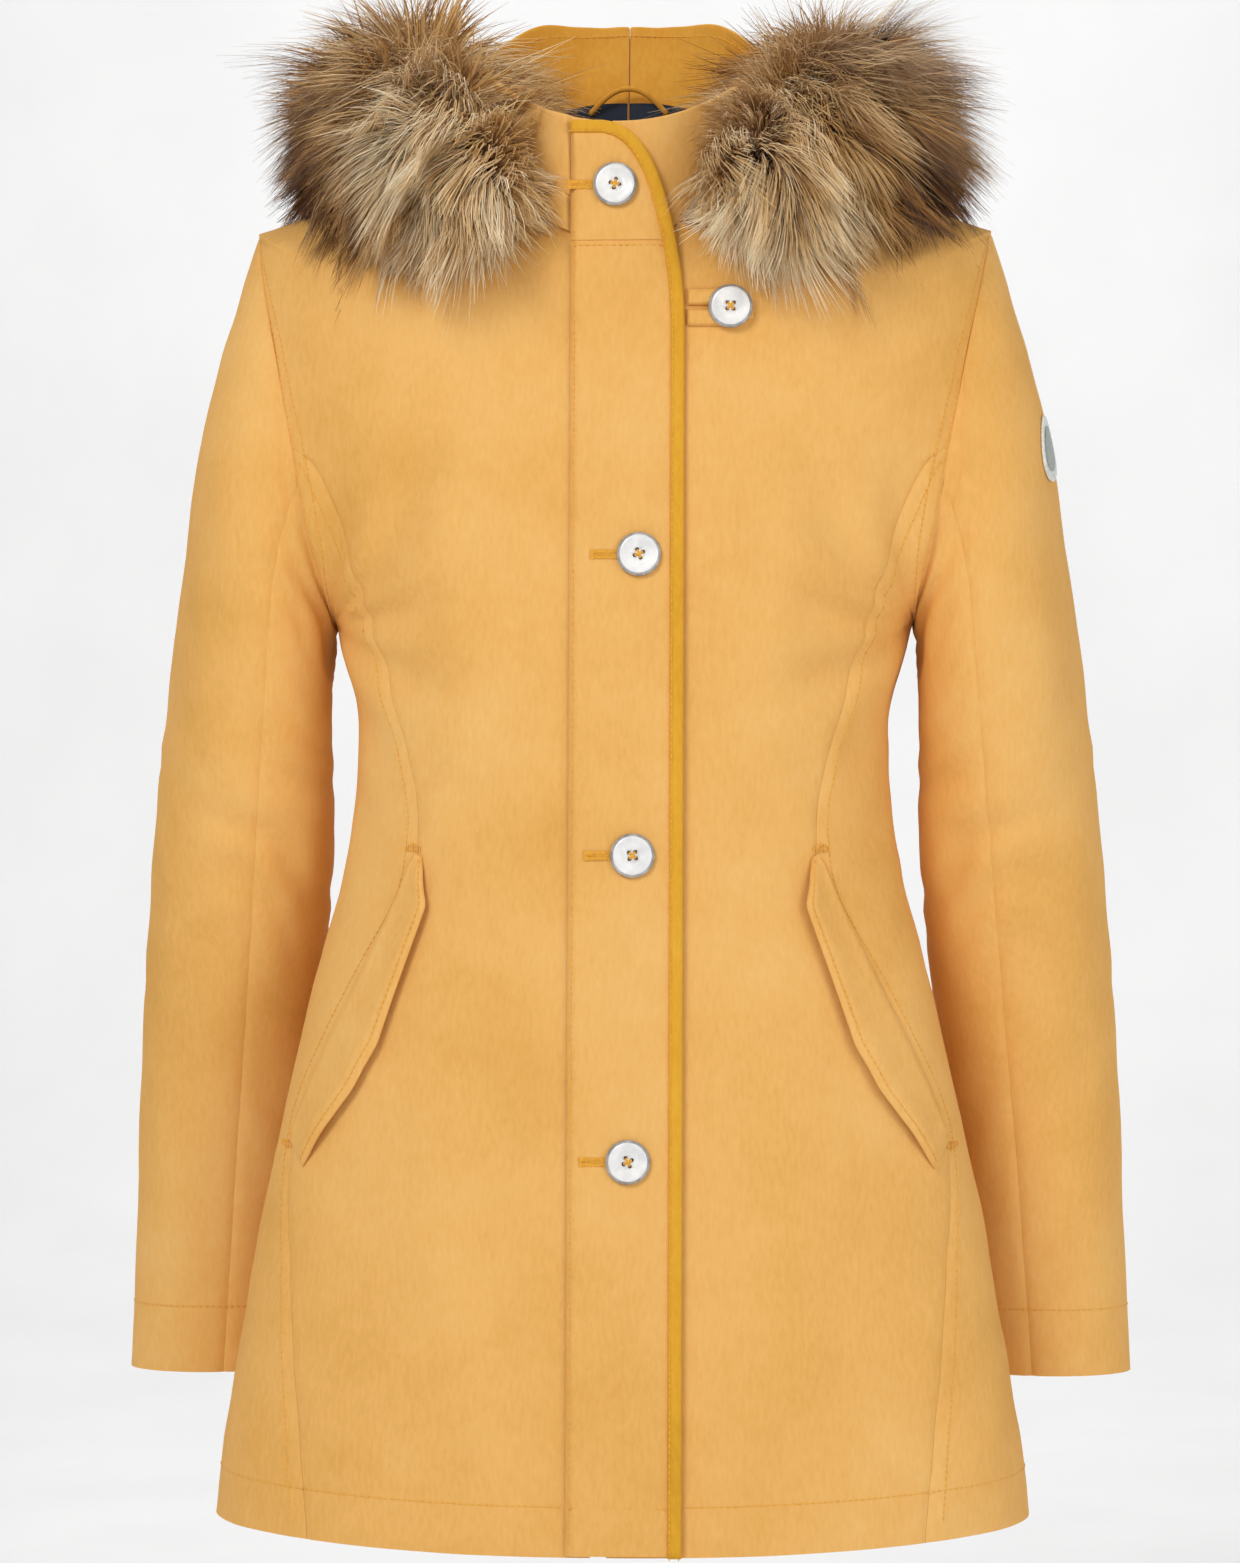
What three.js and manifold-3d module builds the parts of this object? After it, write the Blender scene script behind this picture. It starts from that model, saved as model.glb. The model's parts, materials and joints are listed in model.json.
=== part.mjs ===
// A woman's hooded parka with a fur-trimmed hood, worn shape, buttoned up.
// Millimetres, +Z up, +X to the wearer's left, -Y to the front.
// The origin is on the body's middle line, level with the seam at the back of the neck.
import * as THREE from "three";
import { mergeVertices } from "three/addons/utils/BufferGeometryUtils.js";
import Module from "manifold-3d";

const wasm = await Module();
wasm.setup();

// ---------------------------------------------------------------- driving dimensions

const GAP = 0.3; // between any two pieces that touch

// The body's outline seen from the front, as heights and half widths.
const HEM_Z = -798;
const HEM_DIP = 9; // how much lower the hem is at the centre front
const PIT = { x: 166, z: -290 }; // bottom of the armhole
const TIP = { x: 210, z: -68 }; // shoulder point, top of the armhole
const NECK = { x: 78, side: -22, front: -81, back: 0, depth: 68 };
const TIP_FRONT_Z = -112; // how the section through the shoulder points dips to the front
const TIP_BACK_Z = -60;
const HALF_WIDTH = [
  [HEM_Z, 232], [-725, 222], [-602, 199], [-505, 178], [-450, 163], [-403, 152], [-365, 151],
  [-335, 155], [-310, 160], [PIT.z, PIT.x], [-240, 200], [-180, 214], [-120, 216], [TIP.z, TIP.x],
];
const BACK_Y = [
  [HEM_Z, 140], [-725, 136], [-602, 126], [-505, 112], [-403, 98], [-335, 104], [PIT.z, 110],
  [-240, 112], [-180, 106], [-110, 92], [TIP.z, 80],
];
const WIDEST_Y = [[HEM_Z, -25], [-602, -35], [-505, -28], [-403, -10], [-335, 0], [PIT.z, 4], [TIP.z, 5]];
const SQUARENESS = [[HEM_Z, 2.2], [-602, 2.2], [-403, 2.4], [PIT.z, 2.5], [TIP.z, 2.4]];
const NECK_SQUARENESS = 2.1;
const BUST = { x: 82, z: -262, high: 12, wide: 46, tall: 72 };

// The straight centre-front line that the whole closure follows.
const CF = { topY: -84, topZ: -13, slope: 0.0833 };

// Cloth thicknesses, measured inwards from the outer face.
const SHELL = 5; // outer cloth with its wadding
const LINING_AT = SHELL + 7; // room for pocket bags between shell and lining
const LINING = 1.2;

// Princess seam, which the slanted pocket opens along.
const PRINCESS_TOP_Z = -211;
const POCKET = { top: { x: 112, z: -423 }, bottom: { x: 185, z: -583 }, bag: 84, drop: 60, bagAt: SHELL + 1.9, bagThick: 1.4 };
const PRINCESS_X = [
  [HEM_Z, 172], [-690, 182], [POCKET.bottom.z, POCKET.bottom.x], [-503, 148.5], [POCKET.top.z, POCKET.top.x],
  [-300, 138], [PRINCESS_TOP_Z, 168],
];
const FLAP = { thick: 3, lift: 0.4, free: [[109, -424], [103, -450], [136, -543], [177, -598]] };

// Closure: zip in the middle, buttoned placket over it.
const ZIP = { x: -8, gap: 9, top: -30, bottom: -772, tape: 9, tapeAt: SHELL + 2.7, tooth: 2.2, slit: 1.4 };
const PLACKET = { left: -26, right: 38, inner: 0.5, thick: 4, binding: 8, leanFrom: -130 };
const COLLAR_CORNER = { x: 29, z: -62, top: -13 };
const BUTTON = { r: 12.5, thick: 3.4, holeR: 1.15, holeAt: 2.2, swing: 1.2 };
const FRONT_BUTTONS = [
  { name: "collar", x: -1, z: -50 }, { name: "chest", x: 13, z: -257 },
  { name: "waist", x: 10, z: -424 }, { name: "hip", x: 8, z: -592 },
];
const TAB = { left: 38.8, right: 75, z: -118.5, high: 21, thick: 2, slit: 1.4, buttonX: 63 };

// Sleeves: outer and inner outline from shoulder to cuff, as x and z.
const SLEEVE_OUT = [
  [TIP.x, TIP.z], [224, -108], [241, -174], [252, -243], [266, -335], [276, -428], [283, -522], [289, -618],
  [294, -727],
];
const SLEEVE_IN = [
  [PIT.x, PIT.z], [169, -303], [169, -322], [169, -347], [169, -390], [173, -451], [181, -533], [190, -619],
  [200, -727],
];
const SLEEVE_Y = [0, 1, 3, 8, 18, 32, 50, 63, 70];
const SLEEVE_DEPTH = [60, 63, 67, 68, 64, 59, 53, 47, 42];
const CUFF_FACING = 0.94; // where the cuff's turned-up facing starts along the sleeve
const BADGE = { r: 19, thick: 1.8, z: -189, turn: 0.36 };

// Collar, hood and fur.
const COLLAR_TOP = { x: 88, front: CF.topZ, side: 28, back: 62, depth: 88 };
const POUCH = { turn: 42, deep: 185 };
const FUR = [
  // angle round from the back, x, y, z of the middle, radius across, radius up
  [0, 0, 178, -8, 28, 26], [35, 74, 154, -8, 28, 26], [70, 126, 88, -14, 33, 30], [100, 140, 10, -14, 39, 35],
  [130, 112, -62, -34, 37, 35], [152, 68, -104, -56, 24, 28],
];
const FUR_SPLIT = 50; // angle where the strip bends when the hood is lifted
const LOOP = { half: 24, rise: 11, r: 1.5 };

// ---------------------------------------------------------------- small maths

const lerp = THREE.MathUtils.lerp;
const rad = THREE.MathUtils.degToRad;
const smooth = (t) => THREE.MathUtils.smoothstep(t, 0, 1);
const range = (n) => Array.from({ length: n }, (_, i) => i);
const steps = (from, to, n) => range(n + 1).map((i) => lerp(from, to, i / n));

// A smooth curve through [position, value] pairs in rising order of position.
function through(pairs) {
  const last = pairs.length - 1;
  const slope = (i) => {
    const a = pairs[Math.max(i - 1, 0)];
    const b = pairs[Math.min(i + 1, last)];
    return (b[1] - a[1]) / (b[0] - a[0]);
  };
  return (at) => {
    const x = THREE.MathUtils.clamp(at, pairs[0][0], pairs[last][0]);
    const i = Math.min(Math.max(pairs.findIndex((p) => p[0] > x) - 1, 0), last - 1);
    const k = x >= pairs[last][0] ? last - 1 : i;
    const [[x0, y0], [x1, y1]] = [pairs[k], pairs[k + 1]];
    const w = x1 - x0;
    const t = (x - x0) / w;
    const [m0, m1] = [slope(k) * w, slope(k + 1) * w];
    return (
      (2 * t ** 3 - 3 * t ** 2 + 1) * y0 + (t ** 3 - 2 * t ** 2 + t) * m0 +
      (3 * t ** 2 - 2 * t ** 3) * y1 + (t ** 3 - t ** 2) * m1
    );
  };
}

// The root of a rising function between two bounds.
function solve(f, low, high) {
  for (const _ of range(40)) {
    const mid = (low + high) / 2;
    if (f(mid) < 0) low = mid;
    else high = mid;
  }
  return (low + high) / 2;
}

// ---------------------------------------------------------------- the body's surface

const halfWidth = through(HALF_WIDTH);
const backY = through(BACK_Y);
const widestY = through(WIDEST_Y);
const squareness = through(SQUARENESS);
const frontY = (z) => CF.topY + CF.slope * (z - CF.topZ);

// The closed section whose side point is at that height. Above the shoulder points it narrows to the neck.
function section(side) {
  if (side <= TIP.z) {
    const k = Math.max(0, (side - PIT.z) / (TIP.z - PIT.z));
    const front = side <= PIT.z ? side - HEM_DIP * smooth((side + 505) / (HEM_Z + 505)) : lerp(PIT.z, TIP_FRONT_Z, k);
    const back = side <= PIT.z ? side : lerp(PIT.z, TIP_BACK_Z, k);
    return { half: halfWidth(side), mid: widestY(side), backY: backY(side), n: squareness(side), side, front, back };
  }
  const k = (side - TIP.z) / (NECK.side - TIP.z);
  return {
    half: lerp(TIP.x, NECK.x, k), mid: lerp(5, 0, k), backY: lerp(80, NECK.depth, k),
    n: lerp(2.4, NECK_SQUARENESS, k), side, front: lerp(TIP_FRONT_Z, NECK.front, k), back: lerp(TIP_BACK_Z, NECK.back, k),
  };
}

// A point of a section: turn 0 is the wearer's left side, -90 degrees the front, 90 the back.
function sectionPoint(s, turn) {
  const [c, d] = [Math.cos(turn), Math.sin(turn)];
  const q = (Math.abs(c) ** s.n + Math.abs(d) ** s.n) ** (-1 / s.n);
  const across = d * q;
  const y = across < 0 ? s.mid + (s.mid - frontY(s.front)) * across : s.mid + (s.backY - s.mid) * across;
  const z = lerp(s.side, across < 0 ? s.front : s.back, across * across);
  return new THREE.Vector3(s.half * c * q, y, z);
}

function bodyPoint(turn, side) {
  const p = sectionPoint(section(side), turn);
  const out = ((Math.abs(p.x) - BUST.x) / BUST.wide) ** 2 + ((p.z - BUST.z) / BUST.tall) ** 2;
  if (p.y < 0) p.y -= BUST.high * Math.exp(-out) * smooth(-p.y / 60) * smooth((Math.abs(p.x) - 44) / 55);
  return p;
}

// A surface's point pushed out along its normal.
function pushed(point, a, b, out) {
  const e = 1e-3;
  const across = point(a + e, b).sub(point(a - e, b));
  const up = point(a, b + e).sub(point(a, b - e));
  return point(a, b).addScaledVector(across.cross(up).normalize(), out);
}

const bodyOut = (turn, side, out) => pushed(bodyPoint, turn, Math.min(Math.max(side, HEM_Z + 0.01), NECK.side - 0.01), out);
const turnAtX = (side, x) => solve((t) => bodyPoint(t, side).x - x, -Math.PI, 0);
const armholeX = (z) => lerp(PIT.x, TIP.x, (z - PIT.z) / (TIP.z - PIT.z));

// Where the section meets the armhole's plane, in front (sign -1) or at the back (sign 1), or a plane that far outside it.
function armholeTurn(side, sign, beyond = 0) {
  if (side <= PIT.z || side >= TIP.z) return 0;
  const miss = (t) => {
    const p = bodyPoint(-sign * t, side);
    return p.x - beyond - armholeX(p.z);
  };
  return -sign * solve(miss, -Math.PI / 2, 0);
}

// The front point with that x and height, as a turn and the side height of its section.
function frontAt(x, z) {
  const side = solve((s) => bodyPoint(turnAtX(s, x), s).z - z, HEM_Z + 1, NECK.side - 1);
  return { turn: turnAtX(side, x), side };
}

const princessX = through(PRINCESS_X);
const princessTurn = (side) =>
  solve((t) => bodyPoint(t, side).x - princessX(bodyPoint(t, side).z), -Math.PI / 2, 0);

// ---------------------------------------------------------------- solids from surfaces

// A closed solid between an outer and an inner grid of points. Rows run upwards and columns towards the wearer's left
// seen from outside; `ring` joins the last column to the first.
function slab(outer, inner, ring = false) {
  const rows = outer.length;
  const columns = outer[0].length;
  const index = (layer, r, c) => (layer * rows + r) * columns + (c % columns);
  const faces = [];
  const quad = (a, b, c, d) => faces.push(a, b, c, a, c, d);
  const spans = ring ? columns : columns - 1;
  for (const r of range(rows - 1))
    for (const c of range(spans)) {
      quad(index(0, r, c), index(0, r, c + 1), index(0, r + 1, c + 1), index(0, r + 1, c));
      quad(index(1, r, c), index(1, r + 1, c), index(1, r + 1, c + 1), index(1, r, c + 1));
    }
  for (const c of range(spans)) {
    quad(index(0, 0, c), index(1, 0, c), index(1, 0, c + 1), index(0, 0, c + 1));
    quad(index(0, rows - 1, c), index(0, rows - 1, c + 1), index(1, rows - 1, c + 1), index(1, rows - 1, c));
  }
  if (!ring)
    for (const r of range(rows - 1)) {
      quad(index(0, r, 0), index(0, r + 1, 0), index(1, r + 1, 0), index(1, r, 0));
      const c = columns - 1;
      quad(index(0, r, c), index(1, r, c), index(1, r + 1, c), index(0, r + 1, c));
    }
  const geometry = new THREE.BufferGeometry();
  const points = [...outer, ...inner].flat().flatMap((p) => [p.x, p.y, p.z]);
  geometry.setAttribute("position", new THREE.Float32BufferAttribute(points, 3));
  geometry.setIndex(faces);
  return geometry;
}

// The same solid on the wearer's other side.
function mirrored(geometry) {
  const flipped = geometry.clone().applyMatrix4(new THREE.Matrix4().makeScale(-1, 1, 1));
  const index = Array.from(flipped.index.array);
  for (let i = 0; i < index.length; i += 3) [index[i + 1], index[i + 2]] = [index[i + 2], index[i + 1]];
  flipped.setIndex(index);
  return flipped;
}

// A panel of the body between two turns at each level, from `out` to `inn` of its surface.
function panel(levels, from, to, columns, out, inn) {
  const rowsAt = (push) =>
    levels.map((side) => {
      const arc = (t) => bodyPoint(t + 1e-3, side).distanceTo(bodyPoint(t - 1e-3, side)) / 2e-3;
      const [a, b] = [from(side), to(side)];
      const inset = GAP / 1.6;
      return steps(a + inset / arc(a), b - inset / arc(b), columns).map((t) => bodyOut(t, side, push));
    });
  return slab(rowsAt(out), rowsAt(inn));
}

// A patch that lies on the front of the body, from a function of two shares to x and z.
function frontPatch(place, columns, rows, out, inn) {
  const grid = (push) =>
    steps(0, 1, rows).map((v) =>
      steps(0, 1, columns).map((u) => {
        const { turn, side } = frontAt(...place(u, v));
        return bodyOut(turn, side, push);
      }),
    );
  return slab(grid(out), grid(inn));
}

// A closed solid through rings of points, with a fan of faces at each end.
function capped(rows, ends) {
  const sides = rows[0].length;
  const faces = [];
  for (const r of range(rows.length - 1))
    for (const k of range(sides)) {
      const [a, b] = [r * sides + k, r * sides + ((k + 1) % sides)];
      faces.push(a, b, b + sides, a, b + sides, a + sides);
    }
  const count = rows.length * sides;
  for (const k of range(sides)) {
    const next = (k + 1) % sides;
    faces.push(count, next, k, count + 1, count - sides + k, count - sides + next);
  }
  const geometry = new THREE.BufferGeometry();
  const points = [...rows.flat(), ...ends].flatMap((p) => [p.x, p.y, p.z]);
  geometry.setAttribute("position", new THREE.Float32BufferAttribute(points, 3));
  geometry.setIndex(faces);
  return geometry;
}

// A closed tube of elliptical rings.
function tube(rings, sides) {
  const rows = rings.map(({ at, across, up }) =>
    range(sides).map((k) => {
      const t = (2 * Math.PI * k) / sides;
      return at.clone().addScaledVector(across, Math.cos(t)).addScaledVector(up, Math.sin(t));
    }),
  );
  return capped(rows, [rings[0].at, rings[rings.length - 1].at]);
}

// ---------------------------------------------------------------- cutting and joining

function solid(geometry) {
  const bare = geometry.clone();
  for (const name of Object.keys(bare.attributes)) if (name !== "position") bare.deleteAttribute(name);
  const merged = mergeVertices(bare, 1e-4);
  return new wasm.Manifold(
    new wasm.Mesh({
      numProp: 3, vertProperties: merged.attributes.position.array, triVerts: new Uint32Array(merged.index.array),
    }),
  );
}

function geometryOf(made) {
  const mesh = made.getMesh();
  const geometry = new THREE.BufferGeometry();
  geometry.setAttribute("position", new THREE.BufferAttribute(mesh.vertProperties, 3));
  geometry.setIndex(new THREE.BufferAttribute(mesh.triVerts, 1));
  return geometry;
}

const block = (x0, x1, y0, y1, z0, z1) =>
  new THREE.BoxGeometry(x1 - x0, y1 - y0, z1 - z0).translate((x0 + x1) / 2, (y0 + y1) / 2, (z0 + z1) / 2);

// A rod along Y, from y0 to y1.
const rod = (r, x, z, y0, y1, sides = 8) =>
  new THREE.CylinderGeometry(r, r, y1 - y0, sides).translate(x, (y0 + y1) / 2, z);

// ---------------------------------------------------------------- the coat and its colours

const coat = new THREE.Group();
const cloth = (hex, roughness = 0.85) => new THREE.MeshStandardMaterial({ color: hex, roughness, metalness: 0 });
const finish = {
  shell: cloth(0xe9b261), binding: cloth(0xe2a92f), lining: cloth(0x1d2433, 0.6), inner: cloth(0xd9952f),
  fur: cloth(0x9c7848, 0.95), button: cloth(0xe9e9ea, 0.25), thread: cloth(0xe0a01f), tape: cloth(0xd8a040),
  metal: new THREE.MeshStandardMaterial({ color: 0xb9bcc0, roughness: 0.3, metalness: 0.9 }),
  badge: cloth(0xd9dcd6, 0.5),
};

function add(name, geometry, material, parent = coat) {
  const mesh = new THREE.Mesh(geometry, material);
  mesh.name = name;
  parent.add(mesh);
  return mesh;
}

// ---------------------------------------------------------------- body panels and lining

const SIDES = [["left", 1], ["right", -1]];
const sided = (sign, geometry) => (sign > 0 ? geometry : mirrored(geometry));

const below = steps(HEM_Z, PIT.z, 11);
const arm = [...steps(PIT.z, PRINCESS_TOP_Z, 2), ...steps(PRINCESS_TOP_Z, TIP.z, 4).slice(1)];
const shoulder = steps(TIP.z, NECK.side, 4);
const allLevels = [...below, ...arm.slice(1), ...shoulder.slice(1)];
const sideFrontLevels = [...below, ...arm.slice(1, 2)];
const BEYOND = 3; // how far the panels run past the armhole before they are cut off at it
const armholeFront = (side) => armholeTurn(side, -1, BEYOND);
const armholeBack = (side) => armholeTurn(side, 1, BEYOND);
const centreBack = () => Math.PI / 2;

// A block that covers the space on one side of the armhole: outside it for sign 1, inside for sign -1.
function armholeBlock(sign) {
  const thick = 70;
  const along = new THREE.Vector2(TIP.x - PIT.x, TIP.z - PIT.z);
  return new THREE.BoxGeometry(thick, 400, along.length() + 50)
    .translate(sign * (thick / 2 - GAP / 2), 0, 0)
    .rotateY(Math.atan2(along.x, along.y))
    .translate((PIT.x + TIP.x) / 2, 0, (PIT.z + TIP.z) / 2);
}
const outsideArmhole = solid(armholeBlock(1));
const insideArmhole = solid(armholeBlock(-1));
const cutBody = (geometry) => geometryOf(solid(geometry).subtract(outsideArmhole));
const cutSleeve = (geometry) => geometryOf(solid(geometry).subtract(insideArmhole));

function bodyPanels([side, sign]) {
  const edge = sign > 0 ? ZIP.x + ZIP.gap / 2 : -(ZIP.x - ZIP.gap / 2);
  const centreFront = (level) => turnAtX(level, edge);
  const frontEnd = (level) => (level < PRINCESS_TOP_Z ? princessTurn(level) : armholeFront(level));
  const shell = (levels, from, to, columns) => sided(sign, cutBody(panel(levels, from, to, columns, 0, -SHELL)));
  add(`front_${side}`, shell(allLevels, centreFront, frontEnd, 5), finish.shell);
  add(`side_front_${side}`, shell(sideFrontLevels, princessTurn, armholeFront, 3), finish.shell);
  add(`back_${side}`, shell(allLevels, armholeBack, centreBack, 6), finish.shell);

  const liningEdge = sign > 0 ? 16 : 32; // behind the zip tape and its facing
  const liningLevels = allLevels.filter((level, i) => i % 2 === 1 || Math.abs(level - PIT.z) < 60);
  const lining = (levels, from, to) =>
    sided(sign, cutBody(panel(levels, from, to, 6, -LINING_AT, -LINING_AT - LINING)));
  add(`lining_front_${side}`, lining(allLevels.slice(1, -1), (l) => turnAtX(l, liningEdge), armholeFront), finish.lining);
  add(`lining_back_${side}`, lining(liningLevels, armholeBack, centreBack), finish.lining);
}

// The turned-up cloth inside the hem, on the same columns as the panels.
function hemFacing() {
  const rows = (push) =>
    [HEM_Z + 2, allLevels[1] - 5].map((level) => {
      const half = [
        ...steps(turnAtX(level, 10), princessTurn(level), 5), ...steps(princessTurn(level), 0, 3).slice(1),
        ...steps(0, Math.PI / 2, 6).slice(1),
      ];
      const right = half.map((t) => Math.PI - t).reverse().slice(1);
      right[right.length - 1] = Math.PI - turnAtX(level, 26);
      return [...half, ...right].map((t) => bodyOut(t, level, push));
    });
  add("hem_facing", slab(rows(-SHELL - 0.8), rows(-SHELL - 2.2)), finish.inner);
}

// ---------------------------------------------------------------- pockets

const polyline = (points) => {
  const place = through(points.map((p, i) => [i / (points.length - 1), p[0]]));
  const height = through(points.map((p, i) => [i / (points.length - 1), p[1]]));
  return (t) => [place(t), height(t)];
};

function pockets([side, sign]) {
  const free = polyline(FLAP.free);
  const hinge = (v) => [lerp(POCKET.top.x, POCKET.bottom.x, v), lerp(POCKET.top.z, POCKET.bottom.z, v)];
  const flapPlace = (u, v) => {
    const [a, b] = [free(1 - v), hinge(1 - v)];
    return [lerp(a[0], b[0], u), lerp(a[1], b[1], u)];
  };
  const low = FLAP.lift;
  add(`pocket_flap_${side}`, sided(sign, frontPatch(flapPlace, 3, 8, low + FLAP.thick, low)), finish.shell);

  const bagPlace = (u, v) => {
    const [x, z] = hinge(1 - v);
    return [x - POCKET.bag * (1 - u), z - POCKET.drop * (1 - u) - 4];
  };
  add(
    `pocket_bag_${side}`,
    sided(sign, frontPatch(bagPlace, 4, 5, -POCKET.bagAt, -POCKET.bagAt - POCKET.bagThick)),
    finish.inner,
  );
}

// ---------------------------------------------------------------- closure, in the frame of the centre-front line

const tilt = Math.atan(CF.slope);
const closure = new THREE.Group();
closure.position.set(0, CF.topY, CF.topZ);
closure.rotation.x = -tilt;
coat.add(closure);
// In this group -Y is outwards and Z runs up along the line, 0 at the collar's top.
const along = (z) => (z - CF.topZ) / Math.cos(tilt);

// The placket's free edge from the hem to the middle of the collar's top, as x and height.
function placketEdge() {
  const curve = new THREE.CurvePath();
  const v = (x, z) => new THREE.Vector2(x, along(z));
  curve.add(new THREE.LineCurve(v(PLACKET.right, HEM_Z - HEM_DIP), v(PLACKET.right, PLACKET.leanFrom)));
  curve.add(
    new THREE.CubicBezierCurve(
      v(PLACKET.right, PLACKET.leanFrom), v(PLACKET.right, PLACKET.leanFrom + 30),
      v(COLLAR_CORNER.x + 4, COLLAR_CORNER.z - 16), v(COLLAR_CORNER.x, COLLAR_CORNER.z),
    ),
  );
  curve.add(
    new THREE.CubicBezierCurve(
      v(COLLAR_CORNER.x, COLLAR_CORNER.z), v(COLLAR_CORNER.x - 8, COLLAR_CORNER.z + 32),
      v(COLLAR_CORNER.x - 20, COLLAR_CORNER.top), v(COLLAR_CORNER.x - 40, COLLAR_CORNER.top),
    ),
  );
  curve.add(new THREE.LineCurve(v(COLLAR_CORNER.x - 40, COLLAR_CORNER.top), v(PLACKET.left, COLLAR_CORNER.top)));
  return [...curve.curves[0].getPoints(1), ...curve.curves[1].getPoints(4).slice(1),
    ...curve.curves[2].getPoints(8).slice(1), curve.curves[3].getPoint(1)];
}

// The edge moved in by a distance, square to its direction.
function insetEdge(points, by) {
  return points.map((p, i) => {
    const ahead = points[Math.min(i + 1, points.length - 1)].clone().sub(points[Math.max(i - 1, 0)]).normalize();
    return new THREE.Vector2(p.x - ahead.y * by, p.y + ahead.x * by);
  });
}

// A flat piece of the placket, standing off the front panels.
function flat(outline, holes = []) {
  const shape = new THREE.Shape(outline);
  shape.holes = holes;
  return new THREE.ExtrudeGeometry(shape, { depth: PLACKET.thick, bevelEnabled: false })
    .rotateX(Math.PI / 2)
    .translate(0, -PLACKET.inner, 0);
}

const clearance = ({ x, z }) =>
  new THREE.Path().absarc(x, along(z), BUTTON.r + BUTTON.swing, 0, 2 * Math.PI, true);

function placket() {
  const edge = placketEdge();
  const inner = insetEdge(edge, PLACKET.binding);
  add("placket_binding", flat([...edge, ...inner.slice().reverse()]), finish.binding, closure);

  const seam = along(NECK.front);
  const body = insetEdge(edge, PLACKET.binding + GAP);
  const belowSeam = body.filter((p) => p.y < seam - 1);
  const aboveSeam = body.filter((p) => p.y > seam + 1);
  const [last, next] = [belowSeam[belowSeam.length - 1], aboveSeam[0]];
  const seamX = lerp(last.x, next.x, (seam - last.y) / (next.y - last.y)) - 0.1;
  const corner = (x, z) => new THREE.Vector2(x, z);
  const holeUnder = (b) => b.z < NECK.front;
  add(
    "placket",
    flat(
      [...belowSeam, corner(seamX, seam - GAP / 2), corner(PLACKET.left, seam - GAP / 2), corner(PLACKET.left, belowSeam[0].y)],
      FRONT_BUTTONS.filter(holeUnder).map(clearance),
    ),
    finish.shell, closure,
  );
  add(
    "collar_tab",
    flat(
      [corner(seamX, seam + GAP / 2), ...aboveSeam, corner(PLACKET.left, seam + GAP / 2)],
      FRONT_BUTTONS.filter((b) => !holeUnder(b)).map(clearance),
    ),
    finish.shell, closure,
  );
}

function zip() {
  const [top, bottom] = [along(ZIP.top), along(ZIP.bottom)];
  const half = ZIP.slit / 2;
  for (const [side, sign] of SIDES) {
    const x = (near, far) => (sign > 0 ? [ZIP.x + near, ZIP.x + far] : [ZIP.x - far, ZIP.x - near]);
    add(`zip_tape_${side}`, block(...x(half, half + ZIP.tape), ZIP.tapeAt, ZIP.tapeAt + 0.8, bottom, top), finish.tape, closure);
    add(`zip_teeth_${side}`, block(...x(half, half + ZIP.tooth), 4.5, ZIP.tapeAt - GAP, bottom + 3, top - 3), finish.metal, closure);
  }
  const high = top - 4;
  const plate = (wide, y0, y1) => solid(block(ZIP.x - wide, ZIP.x + wide, y0, y1, high - 11, high));
  const post = solid(block(ZIP.x - 0.4, ZIP.x + 0.4, 4, ZIP.tapeAt + 1.5, high - 3, high));
  const lug = solid(block(ZIP.x - 1.2, ZIP.x + 1.2, 0.6, 3.4, high - 8.5, high - 4.5));
  const slider = plate(3.8, 3.1, 4.2).add(plate(3.8, ZIP.tapeAt + 1.1, ZIP.tapeAt + 2.2)).add(post).add(lug);
  add("zip_slider", geometryOf(slider), finish.metal, closure);
  const pin = high - 6.5;
  const blade = solid(block(ZIP.x - 3.5, ZIP.x + 3.5, 1, 2.5, pin - 24, pin + 4));
  const eye = solid(block(ZIP.x - 2, ZIP.x + 2, 0, 3, pin - 2.8, pin + 2.8));
  add("zip_pull", geometryOf(blade.subtract(eye)), finish.metal, closure);
}

// A button with four holes, axis along Y with its face towards -Y and its back on y = 0.
function buttonGeometry() {
  const { r, thick } = BUTTON;
  const profile = [[0, 0], [r - 2.5, 0], [r, 1.4], [r - 1.2, thick], [r - 3.6, 2], [0, 1.9]];
  const disc = new THREE.LatheGeometry(profile.map(([x, y]) => new THREE.Vector2(x, y)), 18);
  let made = solid(disc);
  for (const k of range(4)) made = made.subtract(solid(rod(BUTTON.holeR, ...threadHole(k), -1, thick + 1, 6)));
  return geometryOf(made).rotateX(Math.PI);
}

const threadHole = (k) => {
  const t = rad(45 + 90 * k);
  return [BUTTON.holeAt * Math.cos(t), BUTTON.holeAt * Math.sin(t)];
};

// The thread that sews a button on: a wound shank of that height under it, four strands and a cross over its face.
function threadGeometry(shank) {
  const bar = (turn) =>
    solid(new THREE.BoxGeometry(2 * BUTTON.holeAt + 1.4, 0.8, 1.2).translate(0, 2.7, 0).rotateY(turn));
  let made = solid(rod(3.1, 0, 0, -shank, -GAP, 6)).add(bar(rad(45))).add(bar(rad(-45)));
  for (const k of range(4)) made = made.add(solid(rod(0.7, ...threadHole(k), -GAP - 0.4, 2.7, 4)));
  return geometryOf(made).rotateX(Math.PI);
}

function frontButtons() {
  const seat = PLACKET.inner + PLACKET.thick + 0.4;
  for (const { name, x, z } of FRONT_BUTTONS) {
    const place = new THREE.Group();
    place.position.set(x, -seat, along(z));
    closure.add(place);
    add(`button_${name}`, buttonGeometry(), finish.button, place);
    add(`button_thread_${name}`, threadGeometry(seat - 0.5), finish.thread, place);
  }
}

// ---------------------------------------------------------------- throat tab on the wearer's left

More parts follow.
